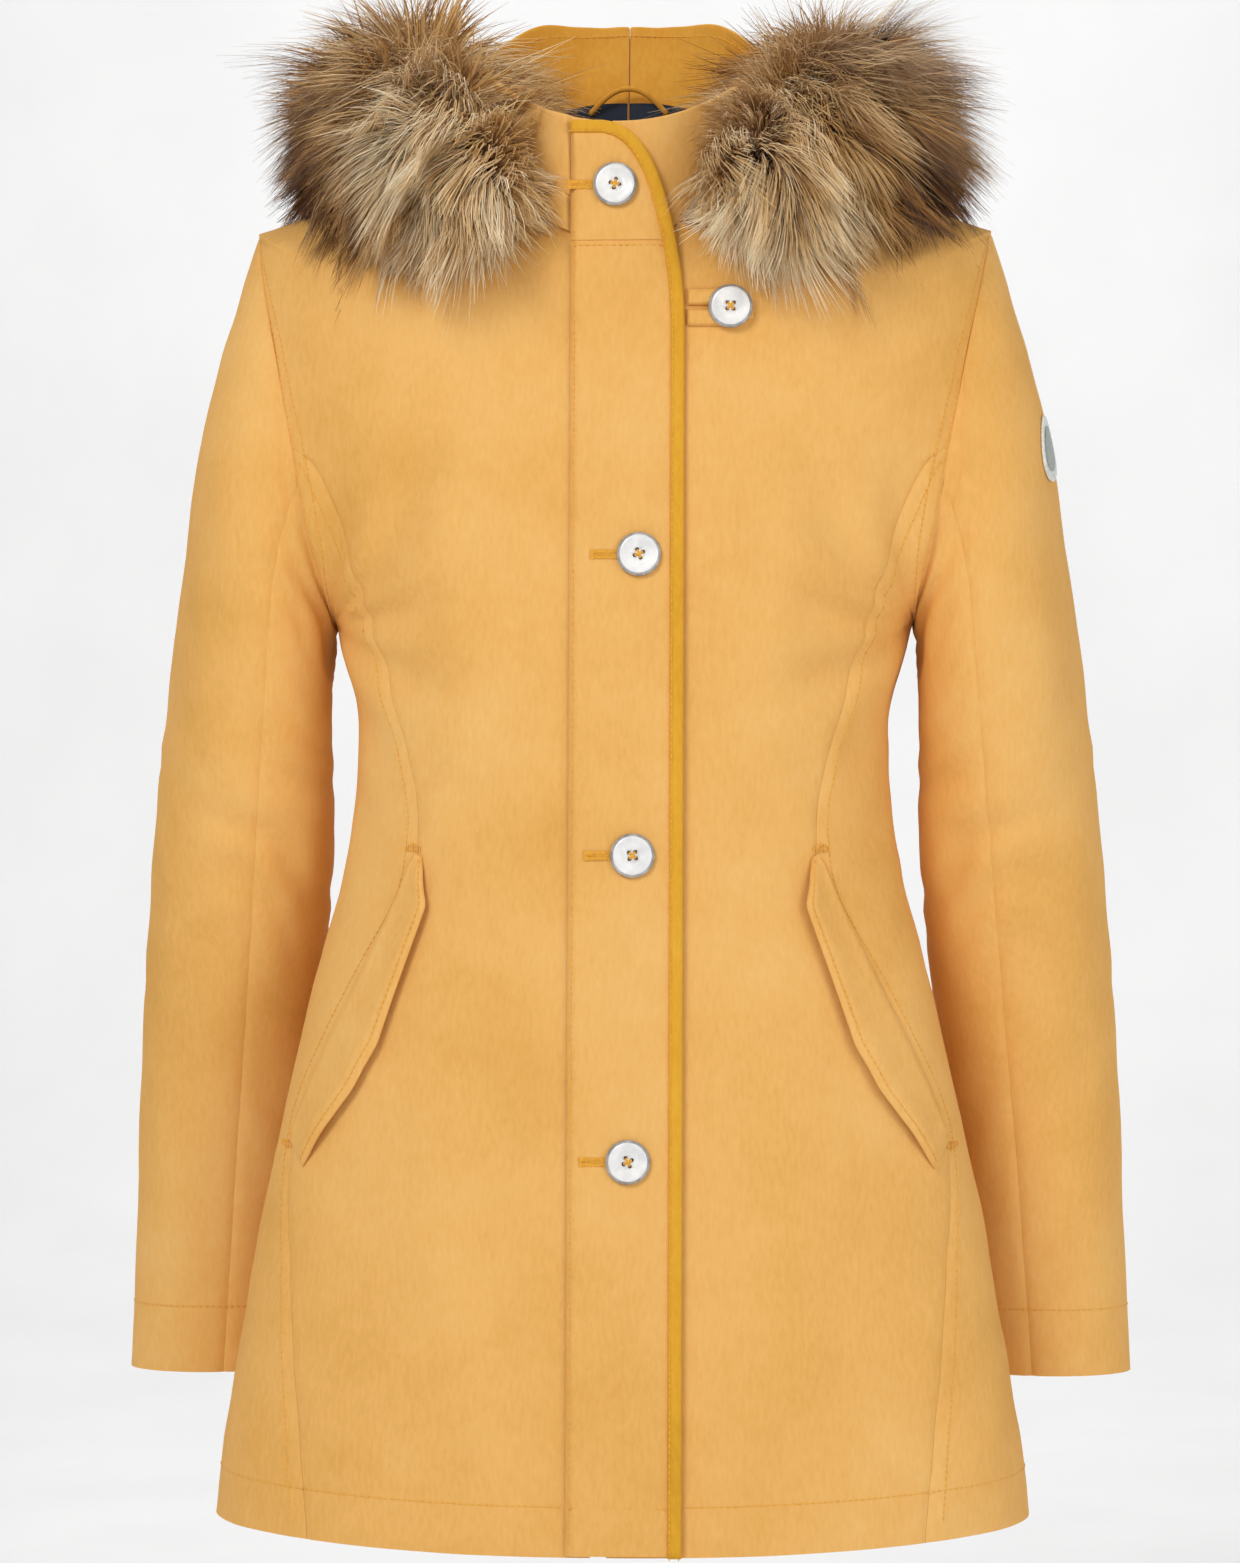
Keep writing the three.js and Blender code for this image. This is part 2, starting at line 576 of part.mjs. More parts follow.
function throatTab() {
  const low = 0.4;
  const place = (u, v) => [lerp(TAB.left, TAB.right, u), lerp(TAB.z - TAB.high / 2, TAB.z + TAB.high / 2, v)];
  const strip = solid(frontPatch(place, 5, 2, low + TAB.thick, low));
  const slit = solid(
    block(TAB.left + 5, TAB.buttonX + 4, -200, 0, TAB.z - TAB.slit / 2, TAB.z + TAB.slit / 2),
  );
  const eye = solid(rod(3.6, TAB.buttonX, TAB.z, -200, 0, 12));
  add("throat_tab", geometryOf(strip.subtract(slit).subtract(eye)), finish.shell);

  const { turn, side } = frontAt(TAB.buttonX, TAB.z);
  const seat = low + TAB.thick + 0.5;
  const spot = new THREE.Group();
  spot.position.copy(bodyOut(turn, side, seat));
  const normal = bodyOut(turn, side, 1).sub(bodyOut(turn, side, 0));
  spot.quaternion.setFromUnitVectors(new THREE.Vector3(0, -1, 0), normal);
  coat.add(spot);
  add("button_throat", buttonGeometry(), finish.button, spot);
  add("button_thread_throat", threadGeometry(seat - 0.5), finish.thread, spot);
}

// ---------------------------------------------------------------- collar, hood and fur

function collarPoint(turn, t) {
  const top = {
    half: COLLAR_TOP.x, mid: 0, backY: COLLAR_TOP.depth, n: NECK_SQUARENESS,
    side: COLLAR_TOP.side, front: COLLAR_TOP.front, back: COLLAR_TOP.back,
  };
  return sectionPoint(section(NECK.side), turn).lerp(sectionPoint(top, turn), t);
}

function collar([side, sign]) {
  const edge = sign > 0 ? ZIP.x + ZIP.gap / 2 : -(ZIP.x - ZIP.gap / 2);
  const start = solve((t) => collarPoint(t, 0.5).x - edge, -Math.PI, 0);
  const lift = GAP / (COLLAR_TOP.back - NECK.back);
  const rows = (push) =>
    steps(4 * lift, 1, 3).map((t) =>
      steps(start, Math.PI / 2 - 0.003, 12).map((turn) => pushed(collarPoint, turn, t, push)),
    );
  add(`collar_${side}`, sided(sign, slab(rows(0), rows(-4))), finish.shell);
}

// Everything inside the body panels' outer face, with a gap round it.
function envelope() {
  const rows = allLevels.map((level) => {
    const split = level < PRINCESS_TOP_Z ? princessTurn(level) : armholeFront(level) / 2;
    const half = [
      ...steps(-Math.PI / 2, split, 5), ...steps(split, 0, 3).slice(1), ...steps(0, Math.PI / 2, 6).slice(1),
    ];
    const round = [...half, ...half.map((t) => Math.PI - t).reverse().slice(1, -1)];
    return round.map((t) => bodyOut(t, level, 3 * GAP));
  });
  const [low, high] = [HEM_Z, NECK.side].map((z) => new THREE.Vector3(0, 0, z - 20));
  return solid(capped(rows, [low, high]));
}
const inBody = envelope();

const furCurve = [1, 2, 3, 4, 5].map((column) => through(FUR.map((row) => [row[0], row[column]])));

// The middle of the fur strip at an angle from the back, positive on the wearer's left.
function furAt(angle) {
  const [x, y, z, across, up] = furCurve.map((f) => f(Math.abs(angle)));
  return { at: new THREE.Vector3(Math.sign(angle) * x, y, z), across, up };
}

function furSolid(angles, grow = 0) {
  const rings = angles.map((angle) => {
    const { at, across, up } = furAt(angle);
    const ahead = furAt(Math.min(angle + 1, 152)).at.clone().sub(furAt(Math.max(angle - 1, -152)).at).normalize();
    const outward = ahead.clone().cross(new THREE.Vector3(0, 0, 1)).normalize();
    const above = ahead.clone().cross(outward).normalize();
    return { at, across: outward.multiplyScalar(across + grow), up: above.multiplyScalar(up + grow) };
  });
  return solid(tube(rings, 10));
}

const furGeometry = (angles) => geometryOf(furSolid(angles).subtract(inBody));

// The hood's bag: down from the collar's top, round its lowest fold and up to the edge that carries the fur.
function pouchPoint(share, t) {
  const turn = rad(90 - POUCH.turn * share);
  const crest = collarPoint(turn, 1);
  const edge = furAt(POUCH.turn * share);
  const outward = new THREE.Vector3(edge.at.x - crest.x, edge.at.y - crest.y, 0);
  outward.setLength(outward.length() - edge.across + 3);
  const deep = POUCH.deep * Math.cos((Math.PI / 2) * 0.95 * share) ** 1.3;
  const out = through([[0, 0.006], [0.25, 0.14], [0.5, 0.36], [0.75, 0.82], [1, 1]]);
  const down = through([[0, 0], [0.25, 0.55], [0.5, 1], [0.75, 0.86], [1, 0]]);
  const z = lerp(t < 0.5 ? crest.z : edge.at.z, crest.z - deep, down(t));
  return new THREE.Vector3(crest.x, crest.y, z).addScaledVector(outward, out(t));
}

function hood() {
  for (const set of SIDES) collar(set);
  const rows = (push) =>
    steps(0.985, 0.01, 8).map((t) => steps(-1, 1, 10).map((share) => pushed((a, b) => pouchPoint(a, -b), share, -t, push)));
  const back = steps(0.3 - FUR_SPLIT, FUR_SPLIT - 0.3, 12);
  const edge = furSolid([-FUR_SPLIT - 8, ...back, FUR_SPLIT + 8], 1.4 * GAP);
  add("hood_pouch", geometryOf(solid(slab(rows(0), rows(-3))).subtract(edge)), finish.shell);
  add("fur_trim_back", furGeometry(back), finish.fur);
  const front = furGeometry(steps(FUR_SPLIT, 152, 8));
  for (const [side, sign] of SIDES) add(`fur_trim_${side}`, sided(sign, front), finish.fur);

  const rings = steps(-1, 1, 10).map((k) => {
    const x = k * LOOP.half;
    const turn = solve((t) => -collarPoint(t, 0.2).x + x, 0, Math.PI);
    const at = pushed(collarPoint, turn, 0.2, -4 - LOOP.r - lerp(8, 1.6, k * k));
    at.z += LOOP.rise * (1 - k * k) - 4;
    return { at, across: new THREE.Vector3(0, LOOP.r, 0), up: new THREE.Vector3(0, 0, LOOP.r) };
  });
  add("hanger_loop", tube(rings, 8), finish.lining);
}

// ---------------------------------------------------------------- sleeves

const column = (pairs, k) => through(pairs.map((p, i) => [i / (pairs.length - 1), k === null ? p : p[k]]));
const [outX, outZ, inX, inZ] = [column(SLEEVE_OUT, 0), column(SLEEVE_OUT, 1), column(SLEEVE_IN, 0), column(SLEEVE_IN, 1)];
const [sleeveY, sleeveDepth] = [column(SLEEVE_Y, null), column(SLEEVE_DEPTH, null)];

// The armhole's edge: turn 0 at the shoulder point, 90 degrees at the front, 180 at the armpit.
function armholePoint(turn) {
  const side = lerp(PIT.z + 0.01, TIP.z - 0.01, (1 + Math.cos(turn)) / 2);
  return bodyPoint(armholeTurn(side, Math.sin(turn) >= 0 ? -1 : 1), side);
}

function sleevePoint(turn, w) {
  const [outer, inner] = [new THREE.Vector3(outX(w), 0, outZ(w)), new THREE.Vector3(inX(w), 0, inZ(w))];
  const p = outer.clone().add(inner).multiplyScalar(0.5);
  p.addScaledVector(outer.sub(inner), Math.cos(turn) / 2);
  p.y = sleeveY(w) - sleeveDepth(w) * Math.sin(turn);
  return w < 0.25 ? armholePoint(turn).lerp(p, smooth(w / 0.25)) : p;
}

const armholeNormal = new THREE.Vector3(TIP.z - PIT.z, 0, PIT.x - TIP.x).normalize();

// A sleeve point pushed out. At the armhole it stays parallel to the armhole's plane, just inside it.
function sleeveOut(turn, w, out) {
  if (w > 0) return pushed((a, b) => sleevePoint(-a, -b), -turn, -Math.min(w, 0.999), out);
  const middle = new THREE.Vector3((PIT.x + TIP.x) / 2, 0, (PIT.z + TIP.z) / 2);
  const p = armholePoint(turn);
  const away = p.clone().sub(middle).projectOnPlane(armholeNormal).normalize();
  return p.addScaledVector(away, out).addScaledVector(armholeNormal, -BEYOND);
}

// A piece of the sleeve on those turns, or all round for a ring.
function sleevePiece(turns, ws, out, inn, ring = false) {
  const grid = (push) => ws.slice().reverse().map((w) => turns.map((t) => sleeveOut(-t, w, push)));
  return slab(grid(out), grid(inn), ring);
}

function sleeve([side, sign]) {
  const ws = [0, 0.05, 0.12, ...steps(0.2, 1, 8)];
  const seam = rad(105);
  const inset = 0.004;
  const upper = steps(inset - seam, seam - inset, 8);
  const under = steps(seam + inset, 2 * Math.PI - seam - inset, 6);
  const around = [...steps(-seam, seam, 8), ...steps(seam, 2 * Math.PI - seam, 6).slice(1, -1)];
  const shell = (turns) => sided(sign, cutSleeve(sleevePiece(turns, ws, 0, -SHELL)));
  add(`sleeve_upper_${side}`, shell(upper), finish.shell);
  add(`sleeve_under_${side}`, shell(under), finish.shell);
  const inner = (rows, at) => sided(sign, cutSleeve(sleevePiece(around, rows, -at, -at - LINING, true)));
  add(`cuff_facing_${side}`, inner([CUFF_FACING, 0.995], SHELL + 0.6), finish.inner);
  const rows = [0.05, 0.12, ...steps(0.2, 0.8, 3), CUFF_FACING - 0.003];
  add(`sleeve_lining_${side}`, inner(rows, SHELL + 2.4), finish.lining);
}

function badge() {
  const w = solve((s) => BADGE.z - outZ(s), 0, 1);
  const long = sleevePoint(0, w + 0.01).distanceTo(sleevePoint(0, w - 0.01)) / 0.02;
  const round = sleevePoint(0.01, w).distanceTo(sleevePoint(-0.01, w)) / 0.02;
  const grid = (push) =>
    steps(-1, 1, 6).map((j) =>
      steps(-1, 1, 6).map((i) => {
        const [a, b] = [i * Math.sqrt(1 - (j * j) / 2), j * Math.sqrt(1 - (i * i) / 2)];
        return sleeveOut(BADGE.turn - (a * BADGE.r) / round, w - (b * BADGE.r) / long, push);
      }),
    );
  add("sleeve_badge", slab(grid(GAP + BADGE.thick), grid(GAP)), finish.badge);
}

// ---------------------------------------------------------------- assembly

for (const set of SIDES) {
  bodyPanels(set);
  pockets(set);
  sleeve(set);
}
hemFacing();
placket();
zip();
frontButtons();
throatTab();
hood();
badge();

export default coat;
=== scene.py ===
"""A hooded parka as worn, in wadded cotton-type cloth.

It has a bound placket over a zip, flapped pockets and a long-haired hood trim.

The maths works in millimetres and turns into metres where a mesh is made. +Z is up and the front faces -Y.
"""

import json
import math

import bmesh
import bpy
import numpy as np
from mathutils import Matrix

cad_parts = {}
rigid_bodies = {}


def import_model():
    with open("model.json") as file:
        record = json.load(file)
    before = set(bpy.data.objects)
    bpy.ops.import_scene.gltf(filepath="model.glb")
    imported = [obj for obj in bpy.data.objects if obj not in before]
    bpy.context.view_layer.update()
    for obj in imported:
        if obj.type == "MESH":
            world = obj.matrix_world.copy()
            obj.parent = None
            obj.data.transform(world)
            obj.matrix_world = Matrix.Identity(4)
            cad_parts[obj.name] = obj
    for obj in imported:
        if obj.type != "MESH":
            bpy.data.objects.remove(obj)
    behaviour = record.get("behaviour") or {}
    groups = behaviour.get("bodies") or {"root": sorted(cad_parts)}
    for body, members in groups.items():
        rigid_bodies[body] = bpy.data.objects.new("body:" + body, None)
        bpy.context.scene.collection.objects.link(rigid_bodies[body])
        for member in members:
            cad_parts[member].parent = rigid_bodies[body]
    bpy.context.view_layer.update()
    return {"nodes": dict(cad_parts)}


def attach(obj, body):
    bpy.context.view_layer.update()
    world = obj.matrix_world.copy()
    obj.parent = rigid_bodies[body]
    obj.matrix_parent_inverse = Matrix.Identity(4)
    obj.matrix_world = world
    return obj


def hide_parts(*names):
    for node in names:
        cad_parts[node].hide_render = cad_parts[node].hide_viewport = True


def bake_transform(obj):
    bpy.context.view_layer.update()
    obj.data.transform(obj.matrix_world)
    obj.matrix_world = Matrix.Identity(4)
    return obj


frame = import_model()
MM = 0.001
QUARTER = math.pi / 2
SIDES = (("left", 1), ("right", -1))

# ---------------------------------------------------------------- sizes shared with the solid model

HEM_Z, HEM_DIP = -798, 9
PIT_X, PIT_Z = 166, -290
TIP_X, TIP_Z = 210, -68
TIP_FRONT_Z, TIP_BACK_Z = -112, -60
NECK_HALF, NECK_SIDE, NECK_FRONT, NECK_BACK, NECK_DEPTH = 78, -22, -81, 0, 68
NECK_SQUARENESS = 2.1
CF_Y, CF_Z, CF_SLOPE = -84, -13, 0.0833
SHELL, LINING_AT, LINING = 5, 12, 1.2
PRINCESS_TOP_Z = -188
POCKET_TOP, POCKET_BOTTOM = (112, -423), (185, -583)
FLAP_FREE = ((109, -424), (103.5, -452), (116.5, -489), (130, -529), (143.5, -554), (177, -599))
FLAP_LIFT, FLAP_CURL = 0.4, 4.6
ZIP_X, ZIP_HALF_GAP, ZIP_TOP, ZIP_BOTTOM, ZIP_DEEP = -8, 4.5, -34, -769, 6
PLACKET_LEFT, PLACKET_RIGHT, PLACKET_LOW, PLACKET_HIGH, BINDING = -26, 38, 0.5, 4.5, 8
BUTTON_R, BUTTON_THICK = 12.4, 3.4
FRONT_BUTTONS = (("collar", -1, -50), ("chest", 13, -257), ("waist", 10, -424), ("hip", 8, -592))
TAB_LEFT, TAB_RIGHT, TAB_Z, TAB_HIGH, TAB_BUTTON = 38.8, 76, -118.5, 21, 63
COLLAR_HALF, COLLAR_SIDE, COLLAR_FRONT, COLLAR_BACK, COLLAR_DEPTH = 88, 28, -13, 62, 88
COLLAR_THICK, CREST_RISE = 4, 11.5
POUCH_TURN, POUCH_DEEP = 42, 185
FUR_SPLIT, FUR_END = 50, 152
CUFF_FACING, HEM_FACING, HEM_SEWN = 0.94, 43, 27.0
ARM_STITCH, ARM_OVERLAP, YOKE_START = 4.6, 0.007, -1.25
SEAM_GAP, PRINCESS_STITCH = 0.0005, 6 / 110
BODY_RADIUS = 150  # about, to turn an angle into a width of cloth
BUST, ELBOW, SLEEVE_LONG, SLEEVE_PART_WIDE = 12, 0.56, 640, 190
BEND_FROM_ARMHOLE = 2, 24
BUTTONHOLE_HALF, HOLE_OUT = 13.5, 2.5
FLAP_WIDE, FLAP_LONG, FLAP_STITCH = 36, 172, 4.5
PLACKET_CLOTH = PLACKET_RIGHT - PLACKET_LEFT - BINDING
BADGE_Z, BADGE_TURN, BADGE_R = -189, 0.36, 18.6


def through(*pairs):
    """A smooth curve through (position, value) pairs in rising order of position."""
    x, y = np.array(pairs, float).T
    reach = np.arange(len(x))
    before, after = np.maximum(reach - 1, 0), np.minimum(reach + 1, len(x) - 1)
    slope = (y[after] - y[before]) / (x[after] - x[before])

    def value(at):
        at = np.clip(at, x[0], x[-1])
        i = np.clip(np.searchsorted(x, at, side="right") - 1, 0, len(x) - 2)
        w = x[i + 1] - x[i]
        t = (at - x[i]) / w
        return (
            (2 * t**3 - 3 * t**2 + 1) * y[i]
            + (t**3 - 2 * t**2 + t) * w * slope[i]
            + (3 * t**2 - 2 * t**3) * y[i + 1]
            + (t**3 - t**2) * w * slope[i + 1]
        )

    return value


half_width = through(
    (HEM_Z, 232), (-725, 222), (-602, 199), (-505, 178), (-450, 163), (-403, 152), (-365, 151), (-335, 155),
    (-310, 160), (PIT_Z, PIT_X), (-240, 200), (-180, 214), (-120, 216), (TIP_Z, TIP_X),
)
back_depth = through(
    (HEM_Z, 140), (-725, 136), (-602, 126), (-505, 112), (-403, 98), (-335, 104), (PIT_Z, 110), (-240, 112),
    (-180, 106), (-110, 92), (TIP_Z, 80),
)
widest_y = through((HEM_Z, -25), (-602, -35), (-505, -28), (-403, -10), (-335, 0), (PIT_Z, 4), (TIP_Z, 5))
squareness = through((HEM_Z, 2.2), (-602, 2.2), (-403, 2.4), (PIT_Z, 2.5), (TIP_Z, 2.4))
princess_x = through(
    (HEM_Z, 172), (-690, 182), (POCKET_BOTTOM[1], POCKET_BOTTOM[0]), (-503, 148.5), (POCKET_TOP[1], POCKET_TOP[0]),
    (-300, 138), (-211, 169), (PRINCESS_TOP_Z, 186.2),
)
sleeve_out = [(TIP_X, TIP_Z), (224, -108), (241, -174), (252, -243), (266, -335), (276, -428), (283, -522),
              (289, -618), (294, -727)]
sleeve_in = [(PIT_X, PIT_Z), (169, -303), (169, -322), (169, -347), (169, -390), (173, -451), (181, -533),
             (190, -619), (200, -727)]
out_x, out_z, in_x, in_z = (
    through(*((i / 8, p[k]) for i, p in enumerate(line))) for line in (sleeve_out, sleeve_in) for k in (0, 1)
)
sleeve_y = through(*((i / 8, v) for i, v in enumerate((0, 1, 3, 8, 18, 32, 50, 63, 70))))
sleeve_depth = through(*((i / 8, v) for i, v in enumerate((60, 63, 67, 68, 64, 59, 53, 47, 42))))


def smooth(t):
    t = np.clip(t, 0, 1)
    return t * t * (3 - 2 * t)


def bell(t, centre, wide):
    """1 at the centre, falling away smoothly on both sides."""
    return np.exp(-(((t - centre) / wide) ** 2))


def mix(a, b, t):
    return a + (b - a) * t


def around_ring(count):
    return np.arange(count) * 2 * math.pi / count


def xyz(x, y, z):
    return np.stack(np.broadcast_arrays(x, y, z), -1).astype(float)


def solve(miss, low, high, like):
    """The root of a rising function between two bounds, for a whole array at once."""
    low, high = np.full(np.shape(like), float(low)), np.full(np.shape(like), float(high))
    for _ in range(36):
        middle = (low + high) / 2
        under = miss(middle) < 0
        low, high = np.where(under, middle, low), np.where(under, high, middle)
    return (low + high) / 2


# ---------------------------------------------------------------- the surfaces of body, collar and sleeve


def front_y(z):
    return CF_Y + CF_SLOPE * (z - CF_Z)


def section(side):
    """Half width, widest y, back y, squareness, and side, front and back heights of the ring at that side height."""
    k = np.clip((side - PIT_Z) / (TIP_Z - PIT_Z), 0, 1)
    up = np.clip((side - TIP_Z) / (NECK_SIDE - TIP_Z), 0, 1)
    low = side <= PIT_Z
    dip = HEM_DIP * smooth((side + 505) / (HEM_Z + 505))
    front = np.where(low, side - dip, mix(PIT_Z, TIP_FRONT_Z, k))
    back = np.where(low, side, mix(PIT_Z, TIP_BACK_Z, k))
    return (
        mix(half_width(side), NECK_HALF, up), mix(widest_y(side), 0, up), mix(back_depth(side), NECK_DEPTH, up),
        mix(squareness(side), NECK_SQUARENESS, up), side, mix(front, NECK_FRONT, up), mix(back, NECK_BACK, up),
    )


def section_point(ring, turn):
    half, mid, back_y, n, side, front, back = ring
    c, d = np.cos(turn), np.sin(turn)
    q = (np.abs(c) ** n + np.abs(d) ** n) ** (-1 / n)
    across = d * q
    ahead = across < 0
    y = np.where(ahead, mid + (mid - front_y(front)) * across, mid + (back_y - mid) * across)
    return xyz(half * c * q, y, mix(side, np.where(ahead, front, back), across**2))


def body_point(turn, side):
    p = section_point(section(side), turn)
    x, y, z = np.abs(p[..., 0]), p[..., 1], p[..., 2]
    out = ((x - 82) / 46) ** 2 + ((z + 262) / 72) ** 2
    bust = BUST * np.exp(-out) * smooth(-y / 60) * smooth((x - 44) / 55)
    p[..., 1] -= np.where(y < 0, bust, 0)
    return p


def collar_point(turn, t):
    ring = (COLLAR_HALF, 0, COLLAR_DEPTH, NECK_SQUARENESS, COLLAR_SIDE, COLLAR_FRONT, COLLAR_BACK)
    t = np.asarray(t, float)
    p = mix(section_point(section(np.float64(NECK_SIDE)), turn), section_point(ring, turn), t[..., None])
    shoulder = bell(np.abs(p[..., 0]), 60, 25) * smooth(p[..., 1] / 25)
    p[..., 2] += CREST_RISE * t * t * shoulder
    return p


def normal_of(surface, a, b, step=1e-3):
    across = surface(a + step, b) - surface(a - step, b)
    up = surface(a, b + step) - surface(a, b - step)
    normal = np.cross(across, up)
    return normal / (np.linalg.norm(normal, axis=-1, keepdims=True) + 1e-12)


def pushed(surface, a, b, out):
    """Points of a surface moved out along its normal."""
    return surface(a, b) + normal_of(surface, a, b) * np.asarray(out)[..., None]


def armhole_x(z):
    return mix(PIT_X, TIP_X, (z - PIT_Z) / (TIP_Z - PIT_Z))


def armhole_turn(side, sign):
    """Where the ring at that side height meets the armhole, in front for sign -1 and behind for sign 1."""

    def miss(t):
        p = body_point(-sign * t, side)
        return p[..., 0] - armhole_x(p[..., 2])

    found = -sign * solve(miss, -QUARTER, 0, side)
    return np.where((side > PIT_Z) & (side < TIP_Z), found, 0)


def turn_at_x(side, x):
    return solve(lambda t: body_point(t, side)[..., 0] - x, -math.pi, 0, side)


def princess_turn(side):
    def miss(t):
        p = body_point(t, side)
        return p[..., 0] - princess_x(p[..., 2])

    return solve(miss, -QUARTER, 0, side)


def front_at(x, z):
    """The turn and side height of the front's point with that x and height."""
    side = np.array(z, float)
    for _ in range(9):
        turn = turn_at_x(side, x)
        side = np.clip(side - (body_point(turn, side)[..., 2] - z), HEM_Z, NECK_SIDE)
    return turn_at_x(side, x), side


def armhole_point(turn):
    side = mix(PIT_Z + 0.01, TIP_Z - 0.01, (1 + np.cos(turn)) / 2)
    ahead = np.sin(turn) >= 0
    return body_point(np.where(ahead, armhole_turn(side, -1), armhole_turn(side, 1)), side)


armhole_ring = np.linspace(0, 2 * math.pi, 361)
armhole_edge = armhole_point(armhole_ring)


def sleeve_point(turn, w):
    w = np.asarray(w, float)
    low, high = (out_x(w), out_z(w)), (in_x(w), in_z(w))
    x = (low[0] + high[0]) / 2 + (low[0] - high[0]) / 2 * np.cos(turn)
    z = (low[1] + high[1]) / 2 + (low[1] - high[1]) / 2 * np.cos(turn)
    p = xyz(x, sleeve_y(w) - sleeve_depth(w) * np.sin(turn), z)
    around = np.mod(turn, 2 * math.pi)
    edge = np.stack([np.interp(around, armhole_ring, armhole_edge[:, k]) for k in range(3)], -1)
    return mix(edge, p, smooth(w / 0.25)[..., None])


# ---------------------------------------------------------------- how the cloth lies


def grain(p, scale, seed):
    """Smooth noise from -1 to 1 at points in millimetres; scale is one length or one for each axis."""
    q = p / np.asarray(scale, float) + seed * 17.13
    cell = np.floor(q)
    t = smooth(q - cell)
    total = 0
    for corner in np.ndindex(2, 2, 2):
        k = cell + corner
        mixed = np.sin(k @ np.array([127.1, 311.7, 74.7]) + seed) * 43758.5453
        weight = np.prod(np.where(np.array(corner) == 1, t, 1 - t), axis=-1)
        total = total + (mixed - np.floor(mixed)) * weight
    return 2 * total - 1


def body_relief(p):
    """Millimetres that the body's cloth stands out of its plain surface."""
    x, z = np.abs(p[..., 0]), p[..., 2]
    low = smooth((-430 - z) / 260)
    drape = grain(p, (34, 60, 190), 1) * mix(0.6, 2.6, low) + grain(p, (70, 90, 120), 2) * 2.0
    creases = grain(p @ tilted(35), (16, 40, 95), 3) * 0.8 + grain(p @ tilted(-30), (13, 40, 70), 4) * 0.6
    far = np.hypot(x - PIT_X, z - PIT_Z)
    fan = np.sin(np.arctan2(z - PIT_Z, x - PIT_X) * 9 + far / 26) * 2.4 * bell(far, 50, 46)
    chest = np.sin(z / 19 + x / 34 + grain(p, 60, 16) * 1.6) * 1.1 * bell(z, -205, 55) * smooth((x - 60) / 60)
    waist = np.sin(z / 8.5 + grain(p, 40, 5) * 3.4) * 0.8 * bell(z, -395, 60) * smooth((x - 85) / 50)
    creases = creases + chest
    calm = smooth((x - 40) / 40) * smooth((-50 - z) / 60)
    calm = np.where(p[..., 1] > 0, smooth((-20 - z) / 60), calm)
    return (drape + creases + fan + waist) * calm + grain(p, 7, 6) * 0.1


def tilted(degrees):
    """A turn of the x and z axes, to lay creases at a slant."""
    c, s = math.cos(math.radians(degrees)), math.sin(math.radians(degrees))
    return np.array([[c, 0, s], [0, 1, 0], [-s, 0, c]])


def sleeve_relief(p, turn, w):
    folds = np.sin(w * 74 + 2.6 * np.sin(turn + 0.6) + grain(p, 44, 7) * 5) * (0.5 + 0.5 * np.cos(turn - 1.9))
    folds = folds * (0.7 + 0.6 * grain(p, 58, 17))
    top = np.sin(w * 60 + grain(p, 36, 8) * 4) * bell(w, 0.17, 0.1) * (0.5 - 0.5 * np.cos(turn))
    drape = grain(p, (30, 36, 110), 9) * 1.9 + grain(p, (60, 60, 90), 10) * 1.7
    drape = drape + grain(p @ tilted(24), (15, 30, 80), 18) * 0.8
    ease = smooth(w / 0.06) * smooth((1.02 - w) / 0.1)
    return (drape + folds * bell(w, ELBOW, 0.16) * 1.7 + top * 1.5) * ease + grain(p, 7, 6) * 0.1


def on_body(turn, side, out=0.0):
    side = np.clip(side, HEM_Z + 0.01, NECK_SIDE - 0.01)
    return pushed(body_point, turn, side, out + body_relief(body_point(turn, side)))


def on_sleeve(turn, w, out=0.0):
    w = np.clip(w, 0.0004, 0.9996)
    place = sleeve_point(turn, w)
    normal = normal_of(sleeve_point, turn, np.clip(w, 0.035, 0.995))
    return place + normal * np.asarray(out + sleeve_relief(place, turn, w))[..., None]


def on_front(x, z, out=0.0):
    return on_body(*front_at(np.asarray(x, float), np.asarray(z, float)), out)


# ---------------------------------------------------------------- meshes


def piece_name(name):
    """A piece's name, kept apart from the names of the solids."""
    name = name.replace(" ", "_")
    return name + "_finished" if name in frame["nodes"] else name


def make(name, points, faces, finish):
    """A mesh object from points in millimetres."""
    name = piece_name(name)
    mesh = bpy.data.meshes.new(name)
    mesh.from_pydata((np.asarray(points).reshape(-1, 3) * MM).tolist(), [], faces)
    mesh.materials.append(finish)
    mesh.polygons.foreach_set("use_smooth", [True] * len(mesh.polygons))
    made = bpy.data.objects.new(name, mesh)
    bpy.context.scene.collection.objects.link(made)
    return made


def point_out(made):
    """Turns a closed mesh's faces outwards."""
    shape = bmesh.new()
    shape.from_mesh(made.data)
    bmesh.ops.recalc_face_normals(shape, faces=shape.faces)
    shape.to_mesh(made.data)
    shape.free()
    return made


